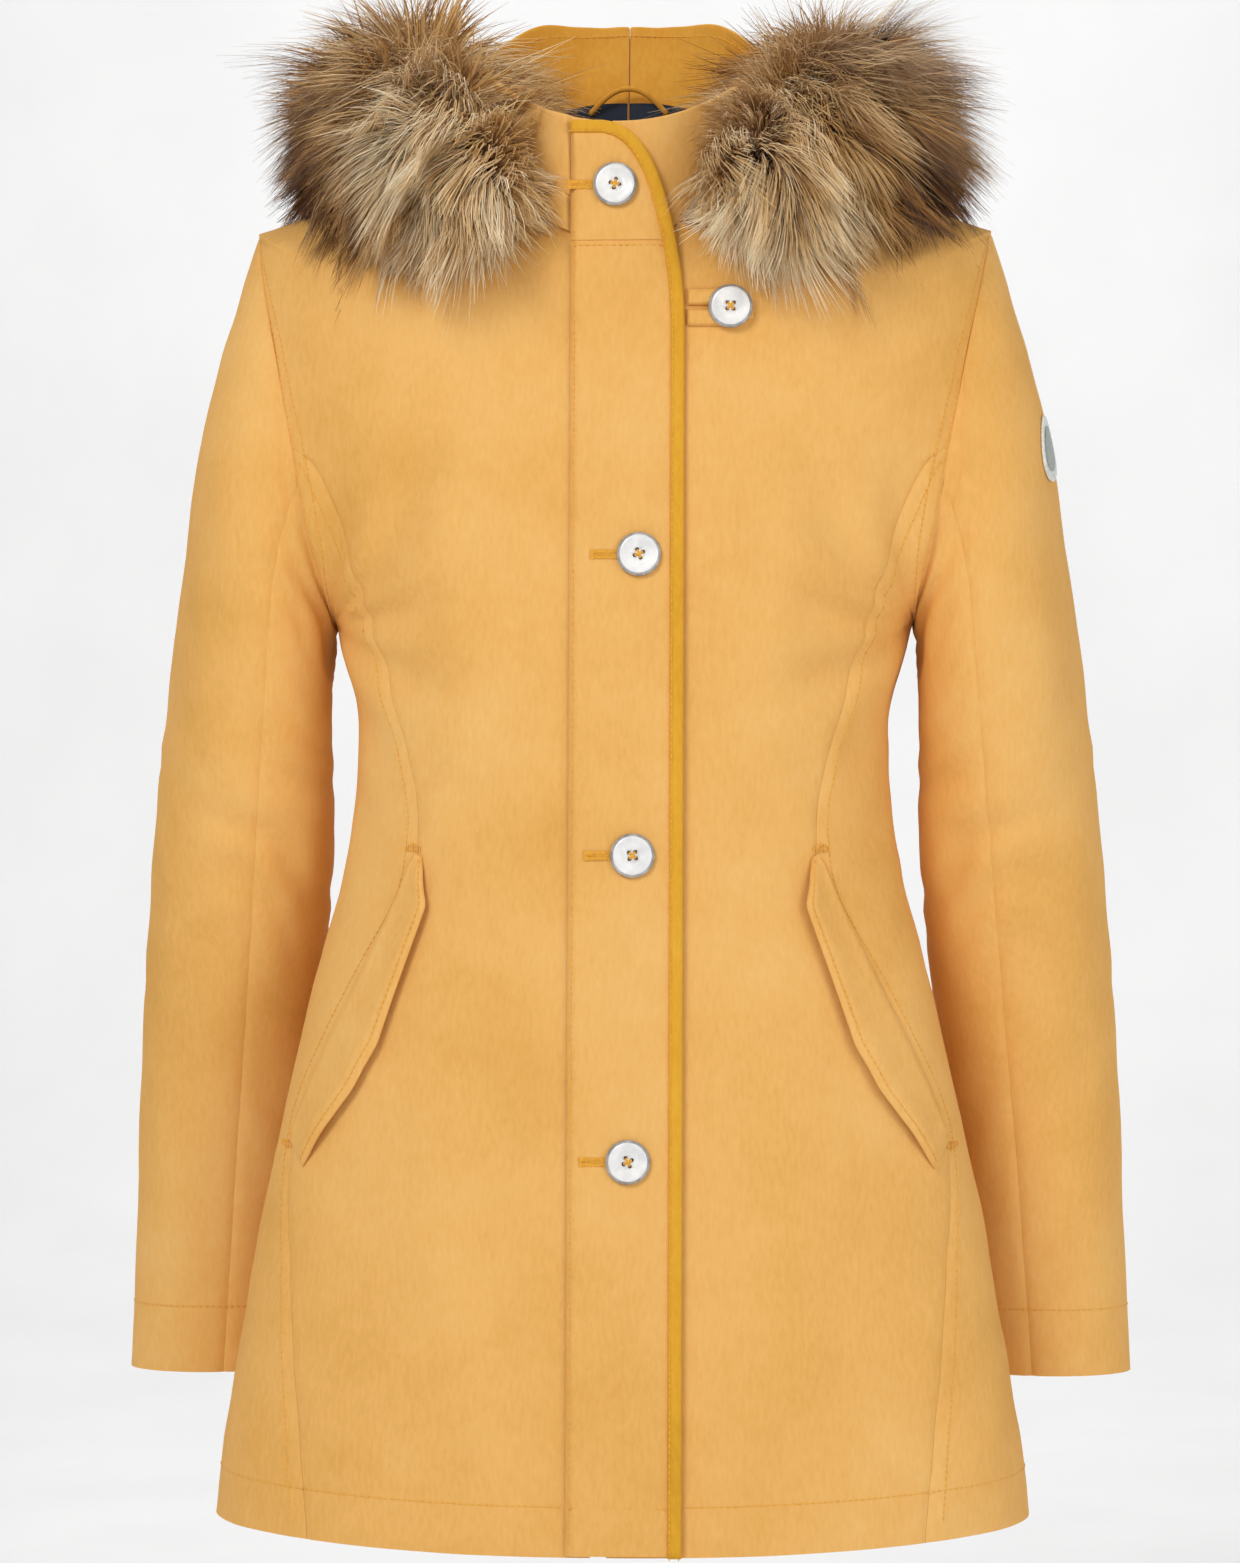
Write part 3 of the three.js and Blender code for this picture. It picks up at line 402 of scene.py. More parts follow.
def slab(name, outer, inner, finish, ring=False, edge=1.2, inside=()):
    """A closed sheet between two grids of points, with softly rounded edges.

    inside lists (finish, rows) for the inner face, row by row from the first.
    """
    rows, columns = outer.shape[:2]
    count = rows * columns

    def at(layer, r, c):
        return layer * count + r * columns + c % columns

    spans = range(columns if ring else columns - 1)
    faces = []
    for layer in (0, 1):
        for r in range(rows - 1):
            for c in spans:
                quad = (at(layer, r, c), at(layer, r, c + 1), at(layer, r + 1, c + 1), at(layer, r + 1, c))
                faces.append(quad if layer == 0 else quad[::-1])
    for c in spans:
        faces.append((at(0, 0, c), at(1, 0, c), at(1, 0, c + 1), at(0, 0, c + 1)))
        faces.append((at(0, rows - 1, c + 1), at(1, rows - 1, c + 1), at(1, rows - 1, c), at(0, rows - 1, c)))
    if not ring:
        last = columns - 1
        for r in range(rows - 1):
            faces.append((at(0, r, 0), at(0, r + 1, 0), at(1, r + 1, 0), at(1, r, 0)))
            faces.append((at(0, r + 1, last), at(0, r, last), at(1, r, last), at(1, r + 1, last)))
    made = make(name, np.concatenate([outer.reshape(-1, 3), inner.reshape(-1, 3)]), faces, finish)
    first = (rows - 1) * len(spans)
    for number, (other, span_rows) in enumerate(inside, 1):
        made.data.materials.append(other)
        last_face = first + span_rows * len(spans)
        for index in range(first, min(last_face, 2 * (rows - 1) * len(spans))):
            made.data.polygons[index].material_index = number
        first = last_face
    point_out(made)
    if edge:
        soft = made.modifiers.new("rounded edge", "BEVEL")
        soft.width, soft.segments = edge * MM, 3
        soft.limit_method, soft.angle_limit = "ANGLE", math.radians(50)
    return made


def tube_faces(count, sides):
    """The faces of a closed tube of rings, row by row and then its two ends."""
    faces = [
        (r * sides + k, r * sides + (k + 1) % sides, (r + 1) * sides + (k + 1) % sides, (r + 1) * sides + k)
        for r in range(count - 1) for k in range(sides)
    ]
    return faces + [tuple(range(sides))[::-1], tuple((count - 1) * sides + k for k in range(sides))]


def sweep(name, path, section_of, finish):
    """A solid swept along a path; section_of gives each ring of points from its place, its tangent and its number."""
    path = np.asarray(path, float)
    tangent = np.gradient(path, axis=0)
    tangent /= np.linalg.norm(tangent, axis=1, keepdims=True)
    rings = np.array([section_of(p, t, i) for i, (p, t) in enumerate(zip(path, tangent))])
    return point_out(make(name, rings, tube_faces(*rings.shape[:2]), finish))


def round_section(radius, up=(0, 0, 1), sides=8):
    """A round section for sweep; radius is one number or one for each ring."""

    def ring(place, tangent, i):
        r = radius[i] if np.ndim(radius) else radius
        a = np.cross(tangent, up)
        a /= np.linalg.norm(a) + 1e-9
        b = np.cross(a, tangent)
        turns = around_ring(sides)
        return place + r * (np.outer(np.cos(turns), a) + np.outer(np.sin(turns), b))

    return ring


def settle(made, body, *nodes, slot=None, bend=None):
    """Parents a finished piece to its body, or with bend bakes its place into its mesh instead, and hides the solid
    nodes it stands for. slot is not used.
    """
    if bend:
        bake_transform(made)
    else:
        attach(made, body)
    if nodes:
        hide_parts(*nodes)
    return made


# ---------------------------------------------------------------- materials


def add_node(tree, kind, inputs, settings):
    """A node with its settings, and each input linked to a socket or set to a value."""
    made = tree.nodes.new(kind)
    for key, value in settings.items():
        setattr(made, key, value)
    for key, value in dict(inputs).items():
        if isinstance(value, bpy.types.NodeSocket):
            tree.links.new(value, made.inputs[key])
        else:
            made.inputs[key].default_value = value
    return made


class Shader:
    """A material and short ways to add nodes to it."""

    def __init__(self, name, roughness, **fixed):
        self.material = bpy.data.materials.new(name)
        self.material.use_nodes = True
        self.tree = self.material.node_tree
        self.surface = self.tree.nodes["Principled BSDF"]
        self.surface.inputs["Roughness"].default_value = roughness
        for socket, value in fixed.items():
            self.surface.inputs[socket.replace("_", " ")].default_value = value
        self.place = self.node("ShaderNodeTexCoord").outputs["Object"]

    def node(self, kind, inputs=(), **settings):
        return add_node(self.tree, kind, inputs, settings)

    def noise(self, per_metre, detail=3, roughness=0.5, stretch=(1, 1, 1)):
        place = self.node("ShaderNodeMapping", {"Vector": self.place, "Scale": stretch}).outputs[0]
        inputs = {"Vector": place, "Scale": per_metre, "Detail": detail, "Roughness": roughness}
        return self.node("ShaderNodeTexNoise", inputs).outputs["Fac"]

    def ramp(self, factor, *stops):
        made = self.node("ShaderNodeValToRGB", {"Fac": factor})
        line = made.color_ramp.elements
        while len(line) < len(stops):
            line.new(0.5)
        for element, (place, colour) in zip(line, stops):
            element.position, element.color = place, (*linear(colour), 1)
        return made.outputs["Color"]

    def math(self, operation, a, b):
        return self.node("ShaderNodeMath", {0: a, 1: b}, operation=operation).outputs[0]

    def bump(self, *heights):
        """Adds bumps of (height, depth in metres)."""
        normal = None
        for height, depth in heights:
            inputs = {"Height": height, "Distance": depth, "Strength": 1.0}
            if normal:
                inputs["Normal"] = normal
            normal = self.node("ShaderNodeBump", inputs).outputs["Normal"]
        self.tree.links.new(normal, self.surface.inputs["Normal"])

    def colour(self, socket):
        self.tree.links.new(socket, self.surface.inputs["Base Color"])
        return self.material


def linear(hex_colour):
    parts = [int(hex_colour[i:i + 2], 16) / 255 for i in (0, 2, 4)]
    return [c / 12.92 if c <= 0.04045 else ((c + 0.055) / 1.055) ** 2.4 for c in parts]


def weave(shader, per_metre):
    """A plain weave's height: two crossed sets of ribs."""
    ribs = [
        shader.node(
            "ShaderNodeTexWave", {"Vector": shader.place, "Scale": per_metre, "Distortion": 0.6, "Detail": 1},
            wave_type="BANDS", bands_direction=axis,
        ).outputs["Fac"]
        for axis in "XZ"
    ]
    return shader.math("MAXIMUM", *ribs)


def cloth(name, dark, mid, light, sheen=0.12, roughness=0.85, slub=1.0):
    made = Shader(name, roughness, Sheen_Weight=sheen, Sheen_Roughness=0.5, Specular_IOR_Level=0.2)
    made.surface.inputs["Sheen Tint"].default_value = (*linear(light), 1)
    broad = made.noise(9, 4, 0.6)
    fine = made.noise(420, 2, 0.5, (1, 1, 0.35))
    both = made.math("ADD", made.math("MULTIPLY", broad, 0.72), made.math("MULTIPLY", fine, 0.28))
    made.bump((weave(made, 900), 0.00006), (fine, 0.0001 * slub), (made.noise(70, 3), 0.0006 * slub))
    return made.colour(made.ramp(both, (0.3, dark), (0.5, mid), (0.7, light)))


def plain(name, dark, light, roughness, per_metre=60, depth=0.0001, **fixed):
    made = Shader(name, roughness, **fixed)
    spots = made.noise(per_metre, 4)
    made.bump((spots, depth))
    return made.colour(made.ramp(spots, (0.35, dark), (0.65, light)))


shell_cloth = cloth("golden cotton cloth", "dfa653", "ebb364", "f0bf74")
# The same golden cloth made darker and more saturated: painted shade for the faces inside the coat, such as the
# collar's inside, the hem and cuff turn-ups, the pocket bags and the hanger loop.
inner_cloth_painted_shade = cloth("golden cloth painted in shade", "cc8a2c", "dc9a36", "e6aa46")
binding_cloth = cloth("mustard binding", "cf9425", "dfa42f", "e8b03c", 0.15)
lining_cloth = cloth("navy lining", "151b28", "1c2535", "263145", 0.1, 0.5, 0.3)
thread_finish = plain("mustard thread", "d9981e", "efb22c", 0.6, 900, 0.0001, Sheen_Weight=0.3)
pearl = plain("pearl button", "dcdcdc", "f4f3f0", 0.28, 120, 0.00002, Coat_Weight=0.6, Coat_Roughness=0.1)
rim_grey = plain("button rim", "9a9c9f", "c4c6c8", 0.3, 200, 0.00002, Metallic=0.4)
zip_metal = plain("zip metal", "9b9da0", "c8cacc", 0.32, 300, 0.00003, Metallic=1.0)
tape_cloth = cloth("zip tape", "b88735", "c99641", "d8a54c", 0.1)
badge_finish = plain("satin badge", "c9ccc4", "e9ebe6", 0.35, 500, 0.00008, Coat_Weight=0.2)
badge_rim = plain("badge rim thread", "8f9590", "b7bdb6", 0.5, 900, 0.0001)
slit_dark = plain("slit shadow", "4a2f10", "6a4518", 0.9)


def fur_finish():
    made = Shader("long pile", 0.55, Sheen_Weight=0.2, Specular_IOR_Level=0.35)
    tone = made.node("ShaderNodeAttribute", attribute_name="tone").outputs["Fac"]
    return made.colour(made.ramp(
        tone, (0.0, "22120a"), (0.22, "5a3216"), (0.42, "93632c"), (0.6, "c09150"), (0.78, "dcb981"), (1.0, "f3e4c4"),
    ))


fur_strands = fur_finish()
fur_ground = cloth("pile ground", "3a2614", "56391d", "7a5730", 0.1, 0.95)

# ---------------------------------------------------------------- trees that repeat a small piece


class Tree:
    """A Geometry Nodes tree and short ways to add nodes to it."""

    def __init__(self, name, *numbers):
        self.group = bpy.data.node_groups.new(name, "GeometryNodeTree")
        self.group.interface.new_socket("Geometry", in_out="INPUT", socket_type="NodeSocketGeometry")
        self.group.interface.new_socket("Geometry", in_out="OUTPUT", socket_type="NodeSocketGeometry")
        self.ids = {}
        for label in numbers:
            kind = "NodeSocketInt" if label == "Seed" else "NodeSocketFloat"
            made = self.group.interface.new_socket(label, in_out="INPUT", socket_type=kind)
            self.ids[label] = made.identifier
        self.inputs = self.node("NodeGroupInput").outputs
        self.output = self.node("NodeGroupOutput").inputs["Geometry"]

    def node(self, kind, inputs=(), **settings):
        return add_node(self.group, kind, inputs, settings)

    def add(self, *terms):
        total = terms[0]
        for term in terms[1:]:
            total = self.node("ShaderNodeVectorMath", {0: total, 1: term}, operation="ADD").outputs[0]
        return total

    def scale(self, vector, factor):
        inputs = {0: vector, "Scale": factor}
        return self.node("ShaderNodeVectorMath", inputs, operation="SCALE").outputs[0]

    def math(self, operation, a, *others):
        for b in others:
            a = self.node("ShaderNodeMath", {0: a, 1: b}, operation=operation).outputs[0]
        return a

    def times(self, *factors):
        return self.math("MULTIPLY", *factors)

    def split(self, vector):
        return self.node("ShaderNodeSeparateXYZ", {"Vector": vector}).outputs

    def noise(self, place, scale, detail):
        return self.node("ShaderNodeTexNoise", {"Vector": place, "Scale": scale, "Detail": detail}).outputs

    def named(self, name, kind="FLOAT_VECTOR"):
        return self.node("GeometryNodeInputNamedAttribute", {"Name": name}, data_type=kind).outputs["Attribute"]

    def store(self, geometry, name, value, kind="FLOAT_VECTOR"):
        inputs = {"Geometry": geometry, "Name": name, "Value": value}
        made = self.node("GeometryNodeStoreNamedAttribute", inputs, data_type=kind, domain="POINT")
        return made.outputs["Geometry"]

    def finish(self, geometry, material):
        made = self.node("GeometryNodeSetMaterial", {"Geometry": geometry, "Material": material})
        self.group.links.new(made.outputs["Geometry"], self.output)

    def grow(self, base, name, material, **numbers):
        """Runs the tree on a base object, whose place is taken by a plain mesh of the result."""
        modifier = base.modifiers.new(self.group.name, "NODES")
        modifier.node_group = self.group
        for label, value in numbers.items():
            modifier[self.ids[label]] = value
        settings = bpy.context.evaluated_depsgraph_get()
        mesh = bpy.data.meshes.new_from_object(base.evaluated_get(settings), depsgraph=settings)
        base.modifiers.remove(modifier)
        bpy.data.objects.remove(base)
        mesh.materials.clear()
        mesh.materials.append(material)
        made = bpy.data.objects.new(piece_name(name), mesh)
        bpy.context.scene.collection.objects.link(made)
        return made


def run_tree(name, shape):
    """A stitch or tooth repeated along paths, each copy laid along the path's own direction."""
    tree = Tree(name, "Pitch", "Length", "Width")
    line = tree.node("GeometryNodeMeshToCurve", {"Mesh": tree.inputs["Geometry"]}).outputs["Curve"]
    spaced = tree.node("GeometryNodeResampleCurve", {"Curve": line, "Length": tree.inputs["Pitch"]}, mode="LENGTH")
    turned = tree.node("FunctionNodeAlignRotationToVector", {"Vector": tree.named("lie")}, axis="X").outputs["Rotation"]
    size = tree.node(
        "ShaderNodeCombineXYZ",
        {"X": tree.inputs["Length"], "Y": tree.inputs["Width"], "Z": tree.inputs["Width"]},
    ).outputs[0]
    if shape == "stitch":
        ball = tree.node("GeometryNodeMeshUVSphere", {"Segments": 6, "Rings": 4, "Radius": 0.5}).outputs["Mesh"]
        laid = tree.node("GeometryNodeTransform", {"Geometry": ball, "Rotation": (0, QUARTER, 0)})
        small = laid.outputs["Geometry"]
    else:
        small = tree.node("GeometryNodeMeshCube", {"Size": (1, 1, 1)}).outputs["Mesh"]
    copies = tree.node(
        "GeometryNodeInstanceOnPoints",
        {"Points": spaced.outputs["Curve"], "Instance": small, "Rotation": turned, "Scale": size},
    ).outputs["Instances"]
    real = tree.node("GeometryNodeRealizeInstances", {"Geometry": copies}).outputs["Geometry"]
    tree.finish(real, thread_finish)
    return tree


stitch_tree = run_tree("row of stitches", "stitch")
tooth_tree = run_tree("row of teeth", "tooth")


def row(name, lines, body, finish=thread_finish, pitch=3.6, length=2.9, width=0.75, lies=None, tree=stitch_tree,
        nodes=(), slot="thread", bend=None):
    """Stitches or teeth along lines of points in millimetres."""
    points, edges, ways = [], [], []
    for i, line in enumerate(lines):
        line = np.asarray(line, float)
        edges += [(len(points) + k, len(points) + k + 1) for k in range(len(line) - 1)]
        points += line.tolist()
        way = np.gradient(line, axis=0) if lies is None else np.broadcast_to(lies[i], line.shape)
        ways += (way / np.linalg.norm(way, axis=1, keepdims=True)).tolist()
    mesh = bpy.data.meshes.new(name)
    mesh.from_pydata((np.array(points) * MM).tolist(), edges, [])
    mesh.attributes.new("lie", "FLOAT_VECTOR", "POINT").data.foreach_set("vector", np.ravel(ways))
    base = bpy.data.objects.new(name + " path", mesh)
    bpy.context.scene.collection.objects.link(base)
    made = tree.grow(base, name, finish, Pitch=pitch * MM, Length=length * MM, Width=width * MM)
    return settle(made, body, *nodes, slot=slot, bend=bend)


# ---------------------------------------------------------------- body panels

BODY = "coat_body"


def mirror(points, sign):
    return points * np.array([sign, 1, 1])


def mirror_all(lines, sign):
    return [mirror(line, sign) for line in lines]


def seam_dip(u, count_mm, deep=0.9, wide=2.2):
    """How far cloth sinks into a seam at each end of a row, from shares 0 to 1 along a width in millimetres."""
    far = np.minimum(u, 1 - u) * count_mm
    return -deep * np.exp(-((far / wide) ** 2))


def levels(low, high, step):
    return np.linspace(low, high, max(3, int(abs(high - low) / step)))


def zip_side(sign):
    """How far from the middle the cloth stops, beside the zip."""
    return ZIP_HALF_GAP + sign * ZIP_X


def body_panel(name, sign, rows, start, end, columns, finish=shell_cloth, out=0, thick=SHELL, dips=True, edge=0.5):
    """A panel of the body between two turns at each row of side heights."""
    start, wide = start[:, None], (end - start)[:, None]
    u = np.linspace(0, 1, columns)
    turn = start + wide * u
    side = np.broadcast_to(rows[:, None], turn.shape)
    dip = seam_dip(u, np.abs(wide) * BODY_RADIUS) if dips else 0
    outer, inner = (on_body(turn, side, far) for far in (out + dip, out - thick))
    return slab(name, *mirror_all((outer, inner), sign), finish, edge=edge)


def body_panels(side_name, sign):
    edge_x = zip_side(sign)
    full = np.concatenate([
        levels(HEM_Z, PIT_Z, 5), levels(PIT_Z, PRINCESS_TOP_Z, 4)[1:], levels(PRINCESS_TOP_Z, TIP_Z, 4)[1:],
        levels(TIP_Z, NECK_SIDE, 2.4)[1:],
    ])
    in_arm = ARM_OVERLAP * smooth((full - PIT_Z) / 20)
    arm_front, arm_back = armhole_turn(full, -1) + in_arm, armhole_turn(full, 1) - in_arm
    ends = np.where(full < PRINCESS_TOP_Z, np.minimum(princess_turn(full), arm_front), arm_front)
    front = body_panel(f"front panel {side_name}", sign, full, turn_at_x(full, edge_x), ends - SEAM_GAP, 40)
    settle(front, BODY, f"front_{side_name}", slot="shell")
    low = full[full < PRINCESS_TOP_Z + 0.5]
    start = princess_turn(low) + SEAM_GAP
    side_panel = body_panel(
        f"side panel {side_name}", sign, low, start, np.maximum(arm_front[: len(low)], start + 0.004), 26
    )
    settle(side_panel, BODY, f"side_front_{side_name}", slot="shell")
    back = body_panel(f"back panel {side_name}", sign, full, arm_back, np.full_like(full, QUARTER), 44)
    settle(back, BODY, f"back_{side_name}", slot="shell")

    hold = 38 if sign > 0 else 30
    lined = full[::3]
    lined = lined[(lined > HEM_Z + HEM_FACING + 2) & (lined < NECK_SIDE - 1)]
    inner_edge = 16 if sign > 0 else 32
    for part, start, end in (
        ("front", turn_at_x(lined, inner_edge), armhole_turn(lined, -1)),
        ("back", armhole_turn(lined, 1), np.full_like(lined, QUARTER)),
    ):
        made = body_panel(
            f"{part} lining {side_name}", sign, lined, start, end, 22, lining_cloth, -LINING_AT, LINING, False, 0.4
        )
        settle(made, BODY, f"lining_{part}_{side_name}", slot="lining")

    # Rows of topstitching: beside the princess seam, round the armhole and along the hem.
    run = levels(HEM_Z + 12, PRINCESS_TOP_Z - 8, 4)
    lines = [on_body(princess_turn(run) + PRINCESS_STITCH, run, 0.15)]
    hem_turn = np.linspace(turn_at_x(np.array([HEM_Z + HEM_SEWN]), hold)[0], QUARTER, 260)
    lines.append(on_body(hem_turn, np.full_like(hem_turn, HEM_Z + HEM_SEWN), 0.1))
    arm_run = levels(PIT_Z + 3, TIP_Z - 3, 3)
    for away_from_arm, lift in ((0.0, -0.3), (ARM_STITCH, 0.2)):
        for turned in (-1, 1):
            edge_turn = armhole_turn(arm_run, turned) + turned * (away_from_arm + 1.2) / 105
            lines.append(on_body(edge_turn, arm_run, lift))
    yoke = np.linspace(-QUARTER * 0.97, QUARTER, 160)
    yoke = yoke[yoke > YOKE_START]
    lines.append(on_body(yoke, np.full_like(yoke, NECK_SIDE - 4.0), 0.1))
    back_run = levels(HEM_Z + 12, TIP_Z, 4)
    lines.append(on_body(np.full_like(back_run, QUARTER - 0.055), back_run, 0.15))
    row(f"body topstitching {side_name}", mirror_all(lines, sign), BODY)


def hem_turn_up():
    rows = levels(HEM_Z + 1.5, HEM_Z + HEM_FACING, 6)
    turn = np.concatenate([
        np.linspace(-QUARTER + 0.08, QUARTER, 90), np.linspace(QUARTER, QUARTER * 3 - 0.16, 90)[1:],
    ])
    grid = np.broadcast_to(turn, (len(rows), len(turn)))
    side = np.broadcast_to(rows[:, None], grid.shape)
    flipped = np.where(grid > QUARTER, math.pi - grid, grid)
    sign = np.where(grid > QUARTER, -1, 1)[..., None] * np.array([1, 0, 0]) + np.array([0, 1, 1])
    outer, inner = (on_body(flipped, side, out) * sign for out in (-SHELL - 0.3, -SHELL - 1.9))
    # The hem's turn-up wears the golden cloth painted darker as shade.
    settle(slab("hem turn-up", outer, inner, inner_cloth_painted_shade, edge=0.5), BODY, "hem_facing", slot="inner")


# ---------------------------------------------------------------- sleeves

ARMHOLE = np.array([TIP_Z - PIT_Z, 0, PIT_X - TIP_X]) / math.hypot(TIP_Z - PIT_Z, TIP_X - PIT_X)
ARMHOLE_MIDDLE = np.array([(PIT_X + TIP_X) / 2, 0, (PIT_Z + TIP_Z) / 2])


def sleeve_bend(side_name, sign):
    """The body, the sleeve's name and two points on the armhole's axis in metres, given to settle as bend, which only
    bakes the piece's place when it is given.
    """
    start, end = (tuple(mirror(ARMHOLE_MIDDLE + far * ARMHOLE, sign) * MM) for far in BEND_FROM_ARMHOLE)
    return BODY, f"sleeve_{side_name}", start, end


def sleeve_shell(name, sign, turns, ws, finish, out, thick, dips, ring=False, edge=0.5):
    turn, w = np.meshgrid(turns, ws)
    u = np.linspace(0, 1, len(turns))
    dip = seam_dip(u, SLEEVE_PART_WIDE) - 0.9 * bell(w * SLEEVE_LONG, 0, 2.6) if dips else 0
    outer, inner = (on_sleeve(turn, w, far + np.zeros_like(turn)) for far in (out + dip, out - thick))
    return slab(name, *mirror_all((outer, inner), sign), finish, ring=ring, edge=edge)


def sleeve(side_name, sign):
    bend = sleeve_bend(side_name, sign)
    seam = math.radians(105)
    ws = np.concatenate([levels(0, 0.12, 0.006), levels(0.12, 1, 0.0075)[1:]])
    for part, start, end, columns in (("upper", -seam, seam, 46), ("under", seam, 2 * math.pi - seam, 32)):
        turns = np.linspace(start + SEAM_GAP, end - SEAM_GAP, columns)
        made = sleeve_shell(f"{part} sleeve {side_name}", sign, turns, ws, shell_cloth, 0, SHELL, True)
        settle(made, None, f"sleeve_{part}_{side_name}", slot="shell", bend=bend)
    around = around_ring(48)
    lining = sleeve_shell(
        f"sleeve lining {side_name}", sign, around, np.linspace(0.05, CUFF_FACING - 0.003, 60), lining_cloth,
        -SHELL - 2.4, LINING, False, True, 0.3,
    )
    settle(lining, None, f"sleeve_lining_{side_name}", slot="lining", bend=bend)
    # The cuff's turn-up wears the golden cloth painted darker as shade.
    facing = sleeve_shell(
        f"cuff turn-up {side_name}", sign, around, np.linspace(CUFF_FACING, 0.996, 12), inner_cloth_painted_shade,
        -SHELL - 0.4, 1.3, False, True, 0.4,
    )
    settle(facing, f"sleeve_{side_name}", f"cuff_facing_{side_name}", slot="inner")
    full = np.linspace(0, 2 * math.pi, 200)
    lines = [on_sleeve(full, np.full_like(full, 0.956), 0.15)]
    row(f"sleeve topstitching {side_name}", mirror_all(lines, sign), None, bend=bend)


def badge():
    w = solve(lambda s: BADGE_Z - out_z(s), 0, 1, np.zeros(1))[0]
    long = np.linalg.norm(sleeve_point(0.0, w + 0.01) - sleeve_point(0.0, w - 0.01)) / 0.02
    wide = np.linalg.norm(sleeve_point(0.01, w) - sleeve_point(-0.01, w)) / 0.02

    def disc(name, radii, lifts, finish, *nodes):
        turns = around_ring(56)
        rings = [
            on_sleeve(BADGE_TURN - r * np.cos(turns) / wide, w + r * np.sin(turns) / long, lift + 0 * turns)
            for r, lift in zip(radii, lifts)
        ]
        made = make(name, np.concatenate(rings), tube_faces(len(rings), len(turns)), finish)
        settle(point_out(made), "sleeve_left", *nodes, slot="badge")

    r = BADGE_R
    disc("sleeve badge", (r - 2, r - 0.6, r, r - 0.8, r - 3, r - 4), (0.2, 0.3, 1.2, 1.8, 1.7, 1.4), badge_finish,
         "sleeve_badge")
    disc("badge ring", (r - 7.6, r - 6, r - 6, r - 7.6), (1.2, 1.2, 1.75, 1.75), badge_rim)


# ---------------------------------------------------------------- closure

tilt = math.atan(CF_SLOPE)


def closure(x, z, out):
    """A point of the straight closure: x, the height on the centre-front line, and how far it stands off the line."""
    h = (np.asarray(z, float) - CF_Z) / math.cos(tilt)
    out = np.asarray(out, float)
    return xyz(x, CF_Y - out * math.cos(tilt) + h * math.sin(tilt), CF_Z + out * math.sin(tilt) + h * math.cos(tilt))


def bezier(a, b, c, d, count):
    t = np.linspace(0, 1, count)[:, None]
    a, b, c, d = map(np.array, (a, b, c, d))
    return a * (1 - t) ** 3 + 3 * b * t * (1 - t) ** 2 + 3 * c * t**2 * (1 - t) + d * t**3


def placket_edge():
    """The placket's free edge, from the hem up and round the collar's corner, as x and height."""
    lean, corner_x, corner_z, top = -130, 29, -62, -13
    straight = np.stack([np.full(160, PLACKET_RIGHT), np.linspace(HEM_Z - HEM_DIP, lean, 160)], 1)
    bent = bezier((PLACKET_RIGHT, lean), (PLACKET_RIGHT, lean + 30), (corner_x + 4, corner_z - 16),
                  (corner_x, corner_z), 20)
    corner = bezier((corner_x, corner_z), (corner_x - 8, corner_z + 32), (corner_x - 20, top), (corner_x - 40, top), 30)
    end = np.stack([np.linspace(corner_x - 40, PLACKET_LEFT, 8), np.full(8, float(top))], 1)
    return np.concatenate([straight, bent[1:], corner[1:], end[1:]])


def inset(line, by):
    tangent = np.gradient(line, axis=0)
    tangent /= np.linalg.norm(tangent, axis=1, keepdims=True)
    return line + by * np.stack([-tangent[:, 1], tangent[:, 0]], 1)


